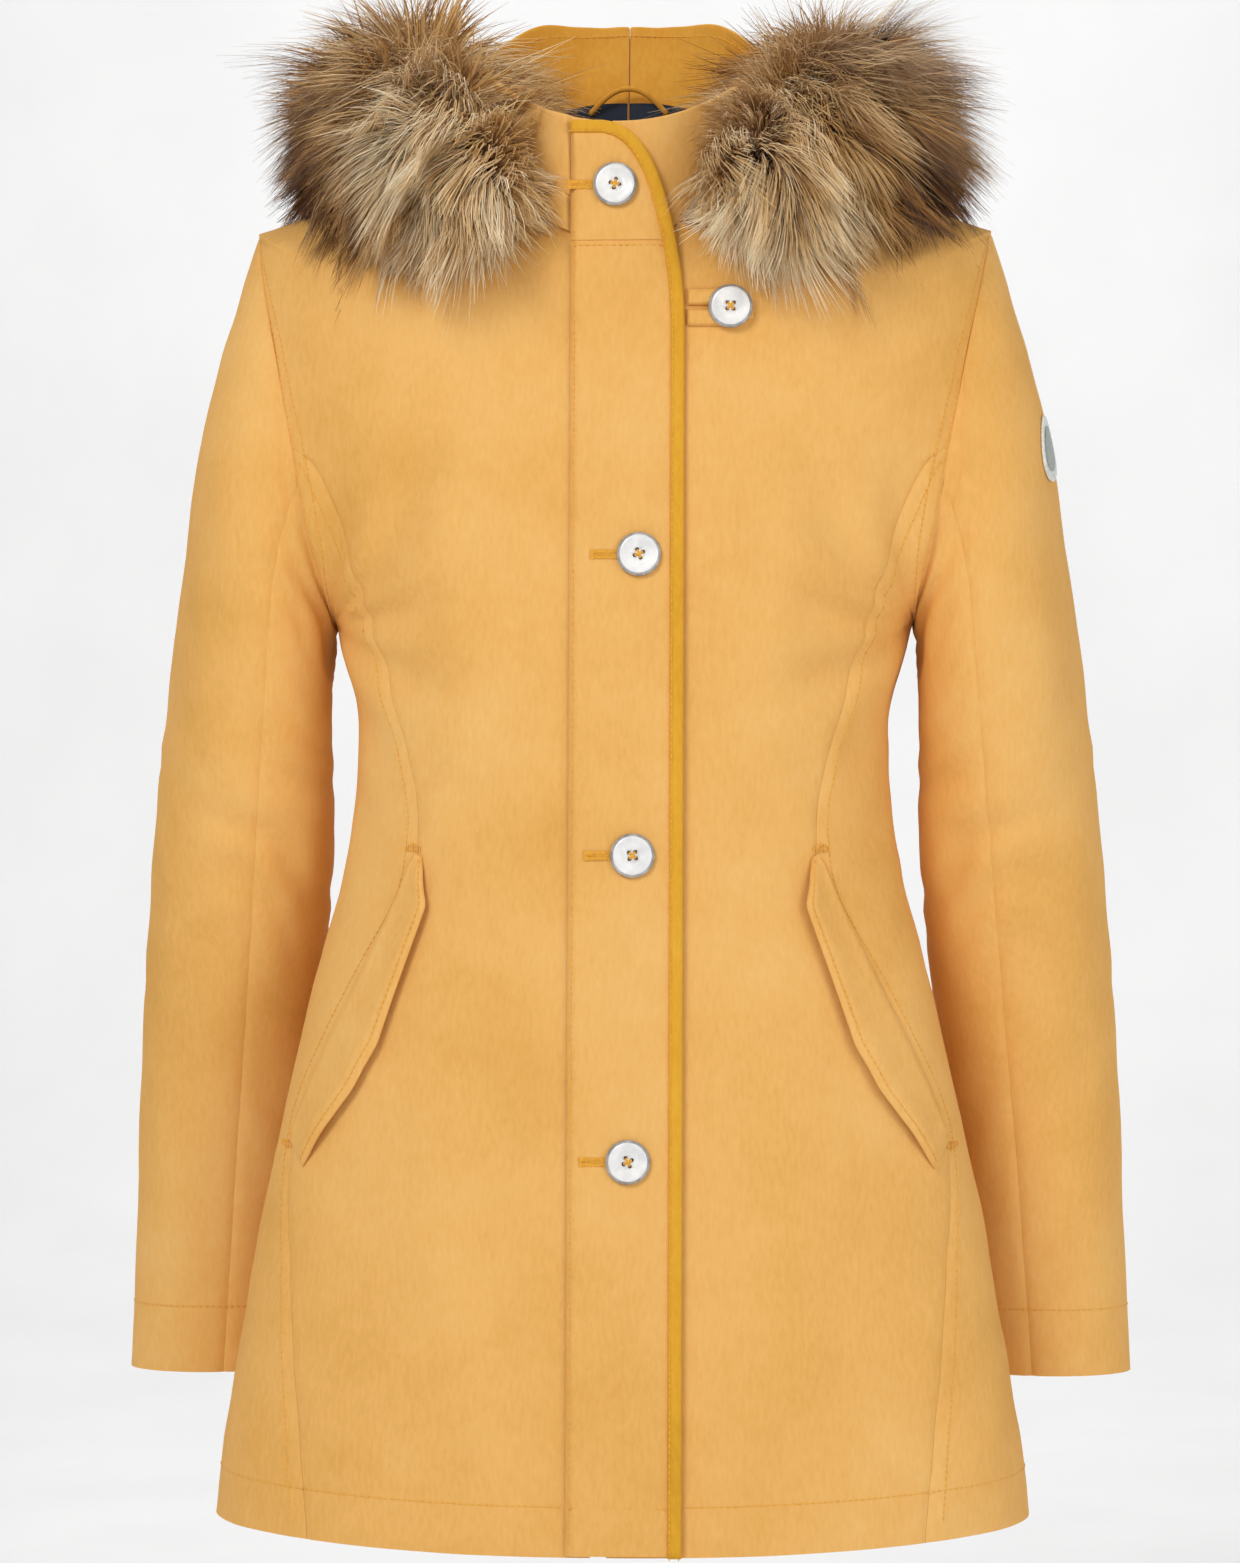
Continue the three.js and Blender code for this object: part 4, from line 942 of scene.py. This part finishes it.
def front_closure():
    edge = placket_edge()
    inner = inset(edge, BINDING - 0.6)
    rising = inner[np.concatenate([[True], np.diff(inner[:, 1]) > 1e-3])]
    top = rising[-1, 1] - 0.4
    placket_body = "placket_flap"

    def board(name, low, high, step, *nodes):
        z = levels(low, high, step)
        right = np.interp(z, rising[:, 1], rising[:, 0])
        u = np.linspace(0, 1, 30)
        x = PLACKET_LEFT + (right - PLACKET_LEFT)[:, None] * u
        zz = np.broadcast_to(z[:, None], x.shape)
        ends = np.minimum(u, 1 - u) * PLACKET_CLOTH
        puff = -1.3 * bell(ends, 0, 2.6) - 2.2 * bell(u * PLACKET_CLOTH, 0, 2.2)
        tail = -0.7 * bell(zz, high, 1.6)
        p = closure(x, zz, 0)
        ripple = grain(p, (26, 26, 60), 12) * 0.5 + grain(p @ tilted(40), (9, 9, 24), 13) * 0.3
        ripple = ripple + 0.75 * np.sin((x * 0.9 + zz) / 7.5 + grain(p, 30, 19) * 3) * bell(zz, -118, 34)
        ripple = ripple * smooth(ends / 8)
        outer = closure(x, zz, PLACKET_HIGH - 0.3 + puff + tail + ripple)
        inner_face = closure(x, zz, PLACKET_LOW + 0.1)
        settle(slab(name, outer, inner_face, shell_cloth, edge=0.8), placket_body, *nodes, slot="shell")

    board("placket", HEM_Z - HEM_DIP + 1, NECK_FRONT, 3, "placket")
    board("collar tab", NECK_FRONT, top, 1.5, "collar_tab")

    middle = inset(edge, BINDING / 2)
    path = closure(middle[:, 0], middle[:, 1], (PLACKET_LOW + PLACKET_HIGH) / 2)
    front = np.array([0, -math.cos(tilt), math.sin(tilt)])
    turns = around_ring(14)

    def flat_round(place, tangent, i):
        across = np.cross(tangent, front)
        puffed = 1 + 0.05 * math.sin(i * 0.9)
        c, s = np.cos(turns), np.sin(turns)
        square = np.maximum(np.abs(c), np.abs(s)) ** -0.55
        return place + np.outer(c * square, across) * BINDING / 2 * 0.97 + np.outer(s * square, front) * 2.1 * puffed

    binding = sweep("placket binding", path, flat_round, binding_cloth)
    settle(binding, placket_body, "placket_binding", slot="binding")
    sewn = inset(edge, BINDING - 1.3)
    second = inset(edge, 1.5)
    near = np.stack([np.full(200, PLACKET_LEFT + 2.4), np.linspace(HEM_Z, -22, 200)], 1)
    across = np.stack([np.linspace(PLACKET_LEFT + 2, 28, 40), np.full(40, NECK_FRONT - 3.0)], 1)
    hem_line = np.stack([np.linspace(PLACKET_LEFT + 3, 28, 30), np.full(30, HEM_Z - HEM_DIP + HEM_SEWN)], 1)
    lines = [closure(line[:, 0], line[:, 1], PLACKET_HIGH + lift)
             for line, lift in ((sewn, 0.1), (second, -0.7), (near, -1.4), (across, -0.4), (hem_line, -0.2))]
    row("placket topstitching", lines[:1] + lines[2:], placket_body)
    row("binding stitching", lines[1:2], placket_body, pitch=3.2)

    for name, x, z in FRONT_BUTTONS:
        half, centre, high = BUTTONHOLE_HALF, x - BUTTONHOLE_HALF + 1, 1.5
        reach = np.linspace(-half, half, 40)
        rows_of = [closure(centre + reach, z + k * high + 0 * reach, PLACKET_HIGH + 0.1) for k in (-1, 1)]
        ends = [
            closure(centre + s * (half + 0.2), z + np.linspace(-2.4, 2.4, 12), PLACKET_HIGH + 0.1) for s in (-1, 1)
        ]
        up, along = closure(0, 1, 0) - closure(0, 0, 0), np.array([1.0, 0, 0])
        row(f"buttonhole {name}", rows_of + ends, placket_body, pitch=0.62, length=2.5, width=0.8,
            lies=[up, up, along, along])
        slot_points = closure(
            centre + np.array([[-half, half]] * 2), z + np.array([[-0.5, -0.5], [0.5, 0.5]]), PLACKET_HIGH + 0.05
        )
        settle(slab(f"buttonhole slit {name}", slot_points, slot_points - 0.4 * front, thread_finish, edge=0),
               placket_body, slot="thread")
        button(name, closure(x, z, PLACKET_HIGH + 0.4), front, z)


def button(name, place, face, seed):
    """A four-hole pearl button with a domed rim, and the crossed thread that holds it."""
    r, thick = BUTTON_R, BUTTON_THICK
    profile = [(r - 2.4, 0), (r - 0.7, 0.4), (r, 1.2), (r - 0.3, 1.9), (r - 1.7, thick - 0.3), (r - 2.3, thick),
               (r - 3.0, thick - 0.05), (r - 4.6, thick - 0.3), (r - 6.6, thick - 0.5)]
    a = np.array([1.0, 0, 0])
    b = np.cross(face, a)
    count = 60
    turns = around_ring(count)

    def at(radius, turn, high):
        return place + radius * (np.cos(turn)[..., None] * a + np.sin(turn)[..., None] * b) + high * face

    rings = [at(radius, turns, high) for radius, high in profile]
    disc = point_out(make(f"button {name}", np.concatenate(rings), tube_faces(len(rings), count), pearl))
    disc.data.materials.append(rim_grey)
    for index in range(count, 4 * count):
        disc.data.polygons[index].material_index = 1
    hole_turns = [seed * 0.9 + QUARTER * (k + 0.5) for k in range(4)]
    holes = []
    for k, turn in enumerate(hole_turns):
        centre = at(HOLE_OUT, np.array(turn), 0)
        path = [centre - 2 * face, centre + 6 * face]
        holes.append(sweep(f"hole {name} {k}", path, round_section(1.15, (1, 0, 0), 14), slit_dark))
    for cutter in holes:
        cut = disc.modifiers.new("hole", "BOOLEAN")
        cut.operation, cut.object, cut.solver = "DIFFERENCE", cutter, "EXACT"
    settings = bpy.context.evaluated_depsgraph_get()
    pierced = bpy.data.meshes.new_from_object(disc.evaluated_get(settings), depsgraph=settings)
    disc.modifiers.clear()
    disc.data = pierced
    for cutter in holes:
        bpy.data.objects.remove(cutter)
    settle(disc, BODY, f"button_{name}", slot="button")

    high = thick - 0.45
    strands = []
    for k in (0, 1):
        ends = [at(HOLE_OUT, np.array(hole_turns[k + j]), 0) for j in (0, 2)]
        for offset in (-0.45, 0.0, 0.45):
            shift = offset * np.cross(face, ends[1] - ends[0]) / 5
            s = np.linspace(0, 1, 9)[:, None]
            rise = high + 0.35 * (1 + k) * np.sin(math.pi * s) - np.abs(2 * s - 1) ** 8
            arch = mix(ends[0], ends[1], s) + face * rise
            strands.append(sweep("strand", arch + shift, round_section(0.33, (0.3, 0.2, 1), 6), thread_finish))
    shank = sweep("shank", [place - 3.6 * face, place - 1.6 * face, place + 0.2 * face],
                  round_section(np.array([2.6, 2.2, 2.8]), (1, 0, 0), 16), thread_finish)
    bpy.ops.object.select_all(action="DESELECT")
    for piece in (*strands, shank):
        piece.select_set(True)
    bpy.context.view_layer.objects.active = shank
    bpy.ops.object.join()
    shank.name = f"button_thread_{name}_crossed"
    settle(shank, BODY, f"button_thread_{name}", slot="thread")


def throat_tab():
    """Two narrow strips that run from under the placket's edge to a button and end in a blunt point."""
    for k, part in ((-1, "lower"), (1, "upper")):
        u, v = np.meshgrid(np.linspace(0, 1, 34), np.linspace(0, 1, 12))
        blunt = 0.82 if k > 0 else 0.45
        point = 1 - smooth((u - 0.62) / 0.38) * blunt
        x = mix(TAB_LEFT + 0.4, TAB_RIGHT - (3.5 if k > 0 else 0), u)
        z = TAB_Z + k * (1.1 + (TAB_HIGH / 2 - 1.1) * v * point)
        rim = np.minimum(np.minimum(u, 1 - u) * 37, np.minimum(v, 1 - v) * 10)
        outer = on_front(x, z, 1.2 + 2.2 * smooth(rim / 1.4))
        inner = on_front(x, z, 0.2)
        piece = slab(f"throat tab {part}", outer, inner, shell_cloth, edge=0.3)
        settle(piece, BODY, *(("throat_tab",) if k > 0 else ()), slot="shell")
        line_x = np.linspace(TAB_LEFT + 2, TAB_RIGHT - 6, 60)
        share = (line_x - TAB_LEFT) / (TAB_RIGHT - TAB_LEFT)
        taper = 1 - smooth((share - 0.62) / 0.38) * blunt
        line = on_front(line_x, TAB_Z + k * (TAB_HIGH / 2 * taper - 2.4), 3.3)
        row(f"tab stitching {part}", [line], BODY, pitch=3.0, length=2.3, width=0.6)
    where = front_at(np.array(float(TAB_BUTTON)), np.array(TAB_Z))
    place, ahead = on_body(*where, 3.0), on_body(*where, 4.0)
    button("throat", place, ahead - place, 1.7)


def zip_parts():
    for side_name, sign in SIDES:
        z = np.linspace(ZIP_BOTTOM + 4, ZIP_TOP - 2, 300)
        line = closure(np.full_like(z, ZIP_X + sign * 1.6), z, -ZIP_DEEP)
        row(f"zip teeth {side_name}", [line], BODY, zip_metal, 2.6, 3.0, 1.7, [np.array([1.0, 0, 0])], tooth_tree,
            (f"zip_teeth_{side_name}",), "metal")
        dress(f"zip_tape_{side_name}", tape_cloth)
    dress("zip_slider", zip_metal)
    dress("zip_pull", zip_metal)


def dress(node, finish):
    """A better finish for a solid that stays in view."""
    piece = frame["nodes"][node]
    for slot in piece.material_slots:
        slot.material = finish


# ---------------------------------------------------------------- pockets


def pocket(side_name, sign):
    """The flap, sewn along its outer edge, over the slit that opens into the pocket bag."""
    free = np.array(FLAP_FREE, float)
    share = (free[:, 1] - free[0, 1]) / (free[-1, 1] - free[0, 1])

    def free_edge(v, k):
        """The free edge's x or height, its corners slightly rounded."""
        return sum(np.interp(v + shift, share, free[:, k]) for shift in (-0.012, 0, 0.012)) / 3

    def flap(u, v, out):
        x = mix(free_edge(v, 0), mix(POCKET_TOP[0], POCKET_BOTTOM[0], v), u)
        z = mix(free_edge(v, 1), mix(POCKET_TOP[1], POCKET_BOTTOM[1], v), u)
        return on_front(x, z, out)

    def curl(u, v):
        """How far the free edge stands away from the coat."""
        return FLAP_CURL * smooth(1 - u * 1.2) * smooth(v * (1 - v) * 9)

    u, v = np.meshgrid(np.linspace(0, 1, 22), np.linspace(0, 1, 90))
    rim = np.minimum(u * FLAP_WIDE, np.minimum(v, 1 - v) * FLAP_LONG)
    p = flap(u, v, 0)
    puff = 1.3 * smooth(rim / 3) + 1.3 * smooth(rim / 9) - 0.45 * bell(rim, FLAP_STITCH, 1.3)
    puff = puff - 1.6 * bell((1 - u) * FLAP_WIDE, 0, 2.2) + grain(p, (14, 30, 24), 15) * 0.35
    raised = FLAP_LIFT + curl(u, v)
    outer, inner = flap(u, v, raised + 1.2 + puff), flap(u, v, raised)
    made = slab(f"pocket flap {side_name}", *mirror_all((outer, inner), sign), shell_cloth, edge=0.7)
    settle(made, f"pocket_flap_{side_name}", f"pocket_flap_{side_name}", slot="shell")

    run = np.linspace(0.02, 0.98, 100)
    near = FLAP_STITCH / FLAP_WIDE + 0 * run
    lines = [flap(near, run, 3.5 + curl(near, run)), flap(1 - 3.2 / FLAP_WIDE + 0 * run, run, 3.4)]
    row(f"flap topstitching {side_name}", mirror_all(lines, sign), f"pocket_flap_{side_name}")

    ends = []
    for at in (0.0, 1.0):
        x = mix(POCKET_TOP[0], POCKET_BOTTOM[0], at)
        z = mix(POCKET_TOP[1], POCKET_BOTTOM[1], at)
        down = -1 if at else 1
        for k in np.linspace(-1, 1, 7):
            ends.append(on_front(x + 2 + 4 * k + np.zeros(3), z + down * np.linspace(2, 5.5 - 2 * abs(k), 3), 0.5))
    row(f"pocket bar tacks {side_name}", mirror_all(ends, sign), BODY, pitch=1.6, length=2.0, width=0.8)

    # A dark strip of painted shadow where the pocket's slit opens under the flap.
    u, v = np.meshgrid(np.linspace(0.55, 0.68, 4), np.linspace(0.04, 0.96, 60))
    outer, inner = flap(u, v, 0.25), flap(u, v, -0.6)
    made = slab(f"pocket mouth {side_name}", *mirror_all((outer, inner), sign), slit_dark, edge=0)
    settle(made, BODY, slot="inner")
    # The pocket bag wears the golden cloth painted darker as shade.
    dress(f"pocket_bag_{side_name}", inner_cloth_painted_shade)


# ---------------------------------------------------------------- collar, hood and hanger loop


def gathers(p):
    return grain(p @ tilted(20), (9, 18, 40), 21) * 1.5 + grain(p @ tilted(-25), (13, 28, 40), 22) * 1.7


def collar():
    for side_name, sign in SIDES:
        edge_x = zip_side(sign)
        ts = np.linspace(0, 1, 34)
        start = solve(lambda t: collar_point(t, 0.5 + 0 * t)[..., 0] - edge_x, -math.pi, 0, np.zeros(1))[0]
        turn, t = np.meshgrid(np.linspace(start, QUARTER - 0.002, 90), ts)
        p = collar_point(turn, t)
        calm = smooth((turn + 1.1) / 0.8)
        lie = gathers(p) * calm
        roll = 1.2 * smooth((t - 0.75) / 0.25)
        beside = p[..., 0] + PLACKET_LEFT + 0.4
        meet = np.where((beside > 0) & (p[..., 1] < 0) & (sign < 0), 4.3 * smooth(1 - beside / 38), 0)
        outer = pushed(collar_point, turn, t, lie * 0.5 + meet)
        inner = pushed(collar_point, turn, t, lie * 0.6 - COLLAR_THICK - roll)
        # The inner face is navy lining on its lowest rows and, above them, the golden cloth painted darker as shade.
        made = slab(f"stand collar {side_name}", *mirror_all((outer, inner), sign), shell_cloth, edge=1.9,
                    inside=((lining_cloth, 8), (inner_cloth_painted_shade, len(ts))))
        settle(made, BODY, f"collar_{side_name}", slot="shell")
        run = np.linspace(start + 0.1, QUARTER, 120)
        line = pushed(collar_point, run, 0.07 + 0 * run, 0.3)[30:]
        inside = pushed(collar_point, run, 0.9 + 0 * run, -COLLAR_THICK - 1.5)
        row(f"collar topstitching {side_name}", mirror_all((line, inside), sign), BODY)


fur_rows = np.array((
    (0, 0, 178, -8, 28, 26), (35, 74, 154, -8, 28, 26), (70, 126, 88, -14, 33, 30), (100, 140, 10, -14, 39, 35),
    (130, 112, -62, -34, 37, 35), (152, 68, -104, -56, 24, 28),
))
fur_curve = [through(*zip(fur_rows[:, 0], fur_rows[:, k])) for k in range(1, 6)]


def fur_at(angle):
    x, y, z, across, up = (f(np.abs(angle)) for f in fur_curve)
    return xyz(np.sign(angle) * x, y, z), across, up


def pouch_point(share, t):
    turn = math.radians(90) - math.radians(POUCH_TURN) * share
    crest = collar_point(turn, np.ones_like(share))
    at, radius, _ = fur_at(POUCH_TURN * share)
    outward = (at - crest) * (1, 1, 0)
    reach = np.linalg.norm(outward, axis=-1, keepdims=True)
    outward *= (reach - radius[..., None] + 3) / reach
    deep = POUCH_DEEP * np.cos(QUARTER * 0.95 * np.abs(share)) ** 1.3
    out = through((0, 0.006), (0.25, 0.14), (0.5, 0.36), (0.75, 0.82), (1, 1))(t)
    down = through((0, 0), (0.25, 0.55), (0.5, 1), (0.75, 0.86), (1, 0))(t)
    z = mix(np.where(t < 0.5, crest[..., 2], at[..., 2]), crest[..., 2] - deep, down)
    return xyz(crest[..., 0], crest[..., 1], z) + outward * out[..., None] * (1, 1, 0)


def hood():
    share, t = np.meshgrid(np.linspace(-1, 1, 80), np.linspace(0.012, 0.985, 90))
    p = pouch_point(share, t)
    folds = grain(p, (20, 40, 60), 23) * 1.6 + grain(p, (10, 20, 22), 24) * 0.7
    ease = smooth(t / 0.12) * smooth((1 - t) / 0.1)
    seam = -1.3 * bell(np.abs(p[..., 0]), 38, 2.4)
    outer, inner = (pushed(pouch_point, share, t, out) for out in ((folds + seam) * ease, -3.0))
    made = slab("hood bag", outer, inner, shell_cloth, edge=1.0)
    settle(made, "hood", "hood_pouch", slot="shell")
    run = np.linspace(0.03, 0.97, 140)
    lines = []
    for side in (-1, 1):
        shares = solve(lambda s: pouch_point(s, run)[..., 0] - side * 34, -1, 1, run)
        lines.append(pushed(pouch_point, shares, run, 0.9))
    row("hood topstitching", lines, "hood")


def hanger_loop():
    k = np.linspace(-1, 1, 40)
    turn = solve(lambda t: -collar_point(t, 0.2 + 0 * t)[..., 0] + k * 24, 0, math.pi, k)
    path = pushed(collar_point, turn, 0.2 + 0 * k, -4 - 1.5 - mix(8, 1.6, k * k))
    path[:, 2] += 11 * (1 - k * k) - 4
    # The hanger loop wears the golden cloth painted darker as shade.
    made = sweep("hanger loop", path, round_section(1.6, (0, 1, 0.2), 10), inner_cloth_painted_shade)
    settle(made, BODY, "hanger_loop", slot="inner")


# ---------------------------------------------------------------- fur

FUR_THIN = 13  # how much slimmer the backing is than the solid that stands for the whole trim
STRANDS, QUICK_STRANDS = 22000, 4000  # in each layer of each length of trim
CREST_ANGLES = 56, 136


def fur_tree():
    tree = Tree("long pile", "Density", "Seed", "Width")
    scatter = tree.node(
        "GeometryNodeDistributePointsOnFaces",
        {"Mesh": tree.inputs["Geometry"], "Density": tree.inputs["Density"], "Seed": tree.inputs["Seed"]},
    )
    roots = tree.store(scatter.outputs["Points"], "root", tree.node("GeometryNodeInputPosition").outputs[0])
    roots = tree.store(roots, "rise", scatter.outputs["Normal"])
    chance = tree.node("FunctionNodeRandomValue", {0: (-0.5, -0.5, -0.5), 1: (0.5, 0.5, 0.5)}, data_type="FLOAT_VECTOR")
    roots = tree.store(roots, "chance", chance.outputs[0])
    ribbon = tree.node("GeometryNodeMeshGrid", {"Size X": 1.0, "Size Y": 1.0, "Vertices X": 2, "Vertices Y": 5})
    strand = tree.store(ribbon.outputs["Mesh"], "strand", ribbon.outputs["UV Map"])
    copies = tree.node("GeometryNodeInstanceOnPoints", {"Points": roots, "Instance": strand}).outputs["Instances"]
    real = tree.node("GeometryNodeRealizeInstances", {"Geometry": copies}).outputs["Geometry"]

    split = tree.split(tree.named("strand"))
    along = split["Y"]
    square = tree.times(along, along)
    root, rise, comb, luck = (tree.named(label) for label in ("root", "rise", "comb", "chance"))
    length = tree.times(tree.named("reach", "FLOAT"), tree.math("ADD", 0.88, tree.times(tree.split(luck)["X"], 0.6)))
    tuft = tree.add(tree.noise(root, 62.0, 1.0)["Color"], (-0.5, -0.5, -0.5))
    way = tree.add(comb, tree.scale(luck, 0.26), tree.scale(tuft, 3.6))
    lift = tree.math("SUBTRACT", tree.times(along, 0.98), tree.times(square, 0.3))
    lay = tree.math("ADD", tree.times(along, 0.06), tree.times(square, 0.46))
    side = tree.node("ShaderNodeVectorMath", {0: rise, 1: tree.add(comb, luck)}, operation="CROSS_PRODUCT").outputs[0]
    side = tree.node("ShaderNodeVectorMath", {0: side}, operation="NORMALIZE").outputs[0]
    taper = tree.math("POWER", tree.math("SUBTRACT", 1.04, along), 0.7)
    half = tree.times(tree.math("SUBTRACT", split["X"], 0.5), taper, tree.inputs["Width"])
    place = tree.add(
        root, tree.scale(rise, tree.times(lift, length)), tree.scale(way, tree.times(lay, length)),
        tree.scale((0.0, 0.0, -1.0), tree.times(square, 0.36, length)), tree.scale(side, half),
    )
    moved = tree.node("GeometryNodeSetPosition", {"Geometry": real, "Position": place}).outputs["Geometry"]
    streak = tree.math("SUBTRACT", tree.noise(root, 38.0, 2.0)["Fac"], 0.5)
    tip = tree.times(tree.math("POWER", along, 3.0), tree.named("tip", "FLOAT"))
    root_shade = tree.times(tree.math("POWER", tree.math("SUBTRACT", 1.0, along), 2.0), -0.24)
    tone = tree.math(
        "ADD", tree.named("shade", "FLOAT"), tree.times(tree.split(luck)["Z"], 0.3), tree.times(streak, 1.1), tip,
        root_shade,
    )
    toned = tree.store(moved, "tone", tone, "FLOAT")
    tree.finish(toned, fur_strands)
    return tree


def fur_backing(name, start, end, rings, crest=False):
    """The strip that carries the pile, with the pile's direction, length and shade at each of its points.

    crest makes the slim upper strip, whose pile leans over the collar.
    """
    angles = np.linspace(start, end, rings)
    at, across, up = fur_at(angles)
    ahead = fur_at(np.minimum(angles + 1, FUR_END))[0] - fur_at(np.maximum(angles - 1, -FUR_END))[0]
    ahead /= np.linalg.norm(ahead, axis=1, keepdims=True)
    outward = np.cross(ahead, (0, 0, 1.0))
    outward /= np.linalg.norm(outward, axis=1, keepdims=True)
    above = np.cross(outward, ahead)
    if crest:
        at = at - outward * np.sign(np.sum(outward * at, axis=1, keepdims=True)) * 17 + (0, 0, 24)
        across, up = FUR_THIN + np.sin(np.linspace(0.3, math.pi - 0.3, rings)) * 15, FUR_THIN + 14 + 0 * up
    sides = 20
    turns = around_ring(sides)
    close = np.ones(rings)
    close[[k for k, tip in ((0, start), (-1, end)) if abs(abs(tip) - FUR_END) < 1]] = 0.35
    ring = (
        at[:, None]
        + (outward * ((across - FUR_THIN) * close)[:, None])[:, None] * np.cos(turns)[:, None]
        + (above * ((up - FUR_THIN) * close)[:, None])[:, None] * np.sin(turns)[:, None]
        + np.array([0, 0, 7.0]) * smooth(np.abs(angles) / 60)[:, None, None] * np.maximum(np.sin(turns), 0)[:, None]
    )
    made = point_out(make(name, ring, tube_faces(rings, sides), fur_ground))
    points = ring.reshape(-1, 3)
    normal = (ring - at[:, None]).reshape(-1, 3)
    normal /= np.linalg.norm(normal, axis=1, keepdims=True)
    from_neck = points * (1, 1, 0) - (0, 20, 0)
    from_neck /= np.linalg.norm(from_neck, axis=1, keepdims=True)
    back = smooth((points[:, 1] - 60) / 60)
    inner_side = smooth(-np.sum(normal * from_neck, axis=1) * 1.3) * (1 - back)
    rise = -0.5 + 0.5 * smooth(normal[:, 2]) + 0.75 * inner_side
    comb = from_neck * (0.6 - 1.5 * inner_side)[:, None] + rise[:, None] * (0, 0, 1)
    comb -= normal * np.sum(comb * normal, axis=1, keepdims=True) * 0.7
    front = smooth(-points[:, 1] / 90)
    low = smooth((-10 - points[:, 2]) / 45)
    outer = smooth((np.abs(points[:, 0]) - 105) / 60)
    rising = smooth(normal[:, 2]) * (1 - back)
    far_front = smooth((-40 - points[:, 1]) / 60)
    away = smooth(np.sum(normal * from_neck, axis=1) * 1.3) * outer
    reach = mix(64 if crest else 70, 24, back) * (1 + (0.05 if crest else 0.22) * rising)
    reach = reach * mix(1, 0.92, low) * mix(1, 0.58, away) * mix(1, 0.64, far_front)
    shade = 0.66 + 0.22 * front * low * (1 - outer) - 0.3 * outer * low - 0.05 * back
    tip = -0.1 - 0.5 * outer * mix(0.5, 1, low) - 0.08 * low + 0.2 * front * (1 - outer)
    if crest:
        shade, tip = shade + 0.04, tip * 0.5
    for label, values in (("reach", reach * MM), ("shade", shade), ("tip", tip)):
        made.data.attributes.new(label, "FLOAT", "POINT").data.foreach_set("value", values)
    made.data.attributes.new("comb", "FLOAT_VECTOR", "POINT").data.foreach_set("vector", comb.ravel())
    return made


def fur():
    tree = fur_tree()
    count = STRANDS
    for body, node, start, end in (
        (BODY, "fur_trim_left", FUR_SPLIT, FUR_END), (BODY, "fur_trim_right", -FUR_END, -FUR_SPLIT),
        ("hood", "fur_trim_back", -FUR_SPLIT, FUR_SPLIT),
    ):
        label = node.replace("_", " ")

        def pile(part, base, strands, seed, width):
            area = sum(face.area for face in base.data.polygons)
            grown = tree.grow(base, f"{label} {part}", fur_strands, Density=strands / area, Seed=seed, Width=width * MM)
            settle(grown, body, slot="fur")

        for layer, width in enumerate((1.35, 1.1)):
            pile(f"pile {layer + 1}", fur_backing(f"{label} base", start, end, 40), count, layer + 3, width)
        settle(fur_backing(f"{label} backing", start, end, 40), body, node, slot="fur")
        if body == BODY:
            near, far = sorted(math.copysign(angle, start + end) for angle in CREST_ANGLES)
            pile("crest pile", fur_backing(f"{label} crest base", near, far, 24, True), count * 0.6, 9, 1.2)


# ---------------------------------------------------------------- studio


# The camera, in metres and radians, and the even light of the room.
EYE_HEIGHT, EYE_FAR, EYE_ASIDE = -0.3826, 3.0, math.radians(2.5)
VIEW_HALF_HIGH, VIEW_LEFT, SKY_STRENGTH = 0.4494, 0.0023, 0.39
# The floor that curves up into a wall, as y and height in metres.
BACKDROP = ((-6.0, -1.1), (2.4, -1.1), (3.2, -0.95), (3.6, -0.4), (3.7, 0.6), (3.7, 5.0))
# Name, place, size in metres, power in watts, and the point that it faces.
LAMPS = (
    ("key", (-1.3, -2.7, 1.5), 1.3, 55, (0, 0, -0.4)), ("fill", (2.2, -2.2, 0.2), 1.8, 27, (0, 0, -0.6)),
    ("top", (0.0, 0.6, 2.2), 1.5, 18, (0, 0, 0)), ("back", (0.0, 2.0, 1.6), 3.0, 27, (0, 3.7, -0.2)),
)


def studio():
    scene = bpy.context.scene
    scene.view_settings.view_transform = "Standard"
    camera = bpy.data.cameras.new("camera")
    camera.sensor_fit = "VERTICAL"
    camera.angle = 2 * math.atan(VIEW_HALF_HIGH / EYE_FAR)
    eye = bpy.data.objects.new("camera", camera)
    eye.location = (EYE_FAR * math.sin(EYE_ASIDE) - VIEW_LEFT, -EYE_FAR * math.cos(EYE_ASIDE), EYE_HEIGHT)
    eye.rotation_euler = (QUARTER, 0, EYE_ASIDE)
    scene.collection.objects.link(eye)
    scene.camera = eye

    points = [(x, y, z) for y, z in BACKDROP for x in (-7.0, 7.0)]
    faces = [(2 * k, 2 * k + 1, 2 * k + 3, 2 * k + 2) for k in range(len(BACKDROP) - 1)]
    floor_finish = plain("pale floor", "f4f4f4", "f8f8f8", 0.9, 4, 0.0)
    floor = make("floor", np.array(points) / MM, faces, floor_finish)
    curve = floor.modifiers.new("sweep", "SUBSURF")
    curve.levels = curve.render_levels = 3

    world = bpy.data.worlds.new("studio")
    world.use_nodes = True
    sky = world.node_tree.nodes["Background"].inputs
    sky["Color"].default_value, sky["Strength"].default_value = (1, 1, 1, 1), SKY_STRENGTH
    scene.world = world
    for name, place, size, power, aim in LAMPS:
        lamp = bpy.data.lights.new(name, "AREA")
        lamp.size, lamp.energy = size, power
        holder = bpy.data.objects.new(name, lamp)
        holder.location = place
        way = np.array(aim) - np.array(place)
        pitch = math.acos(-way[2] / np.linalg.norm(way))
        holder.rotation_euler = (pitch, 0, math.atan2(way[1], way[0]) - QUARTER)
        scene.collection.objects.link(holder)


studio()
for side_name, sign in SIDES:
    body_panels(side_name, sign)
    sleeve(side_name, sign)
    pocket(side_name, sign)
hem_turn_up()
front_closure()
throat_tab()
zip_parts()
collar()
hood()
hanger_loop()
badge()
fur()
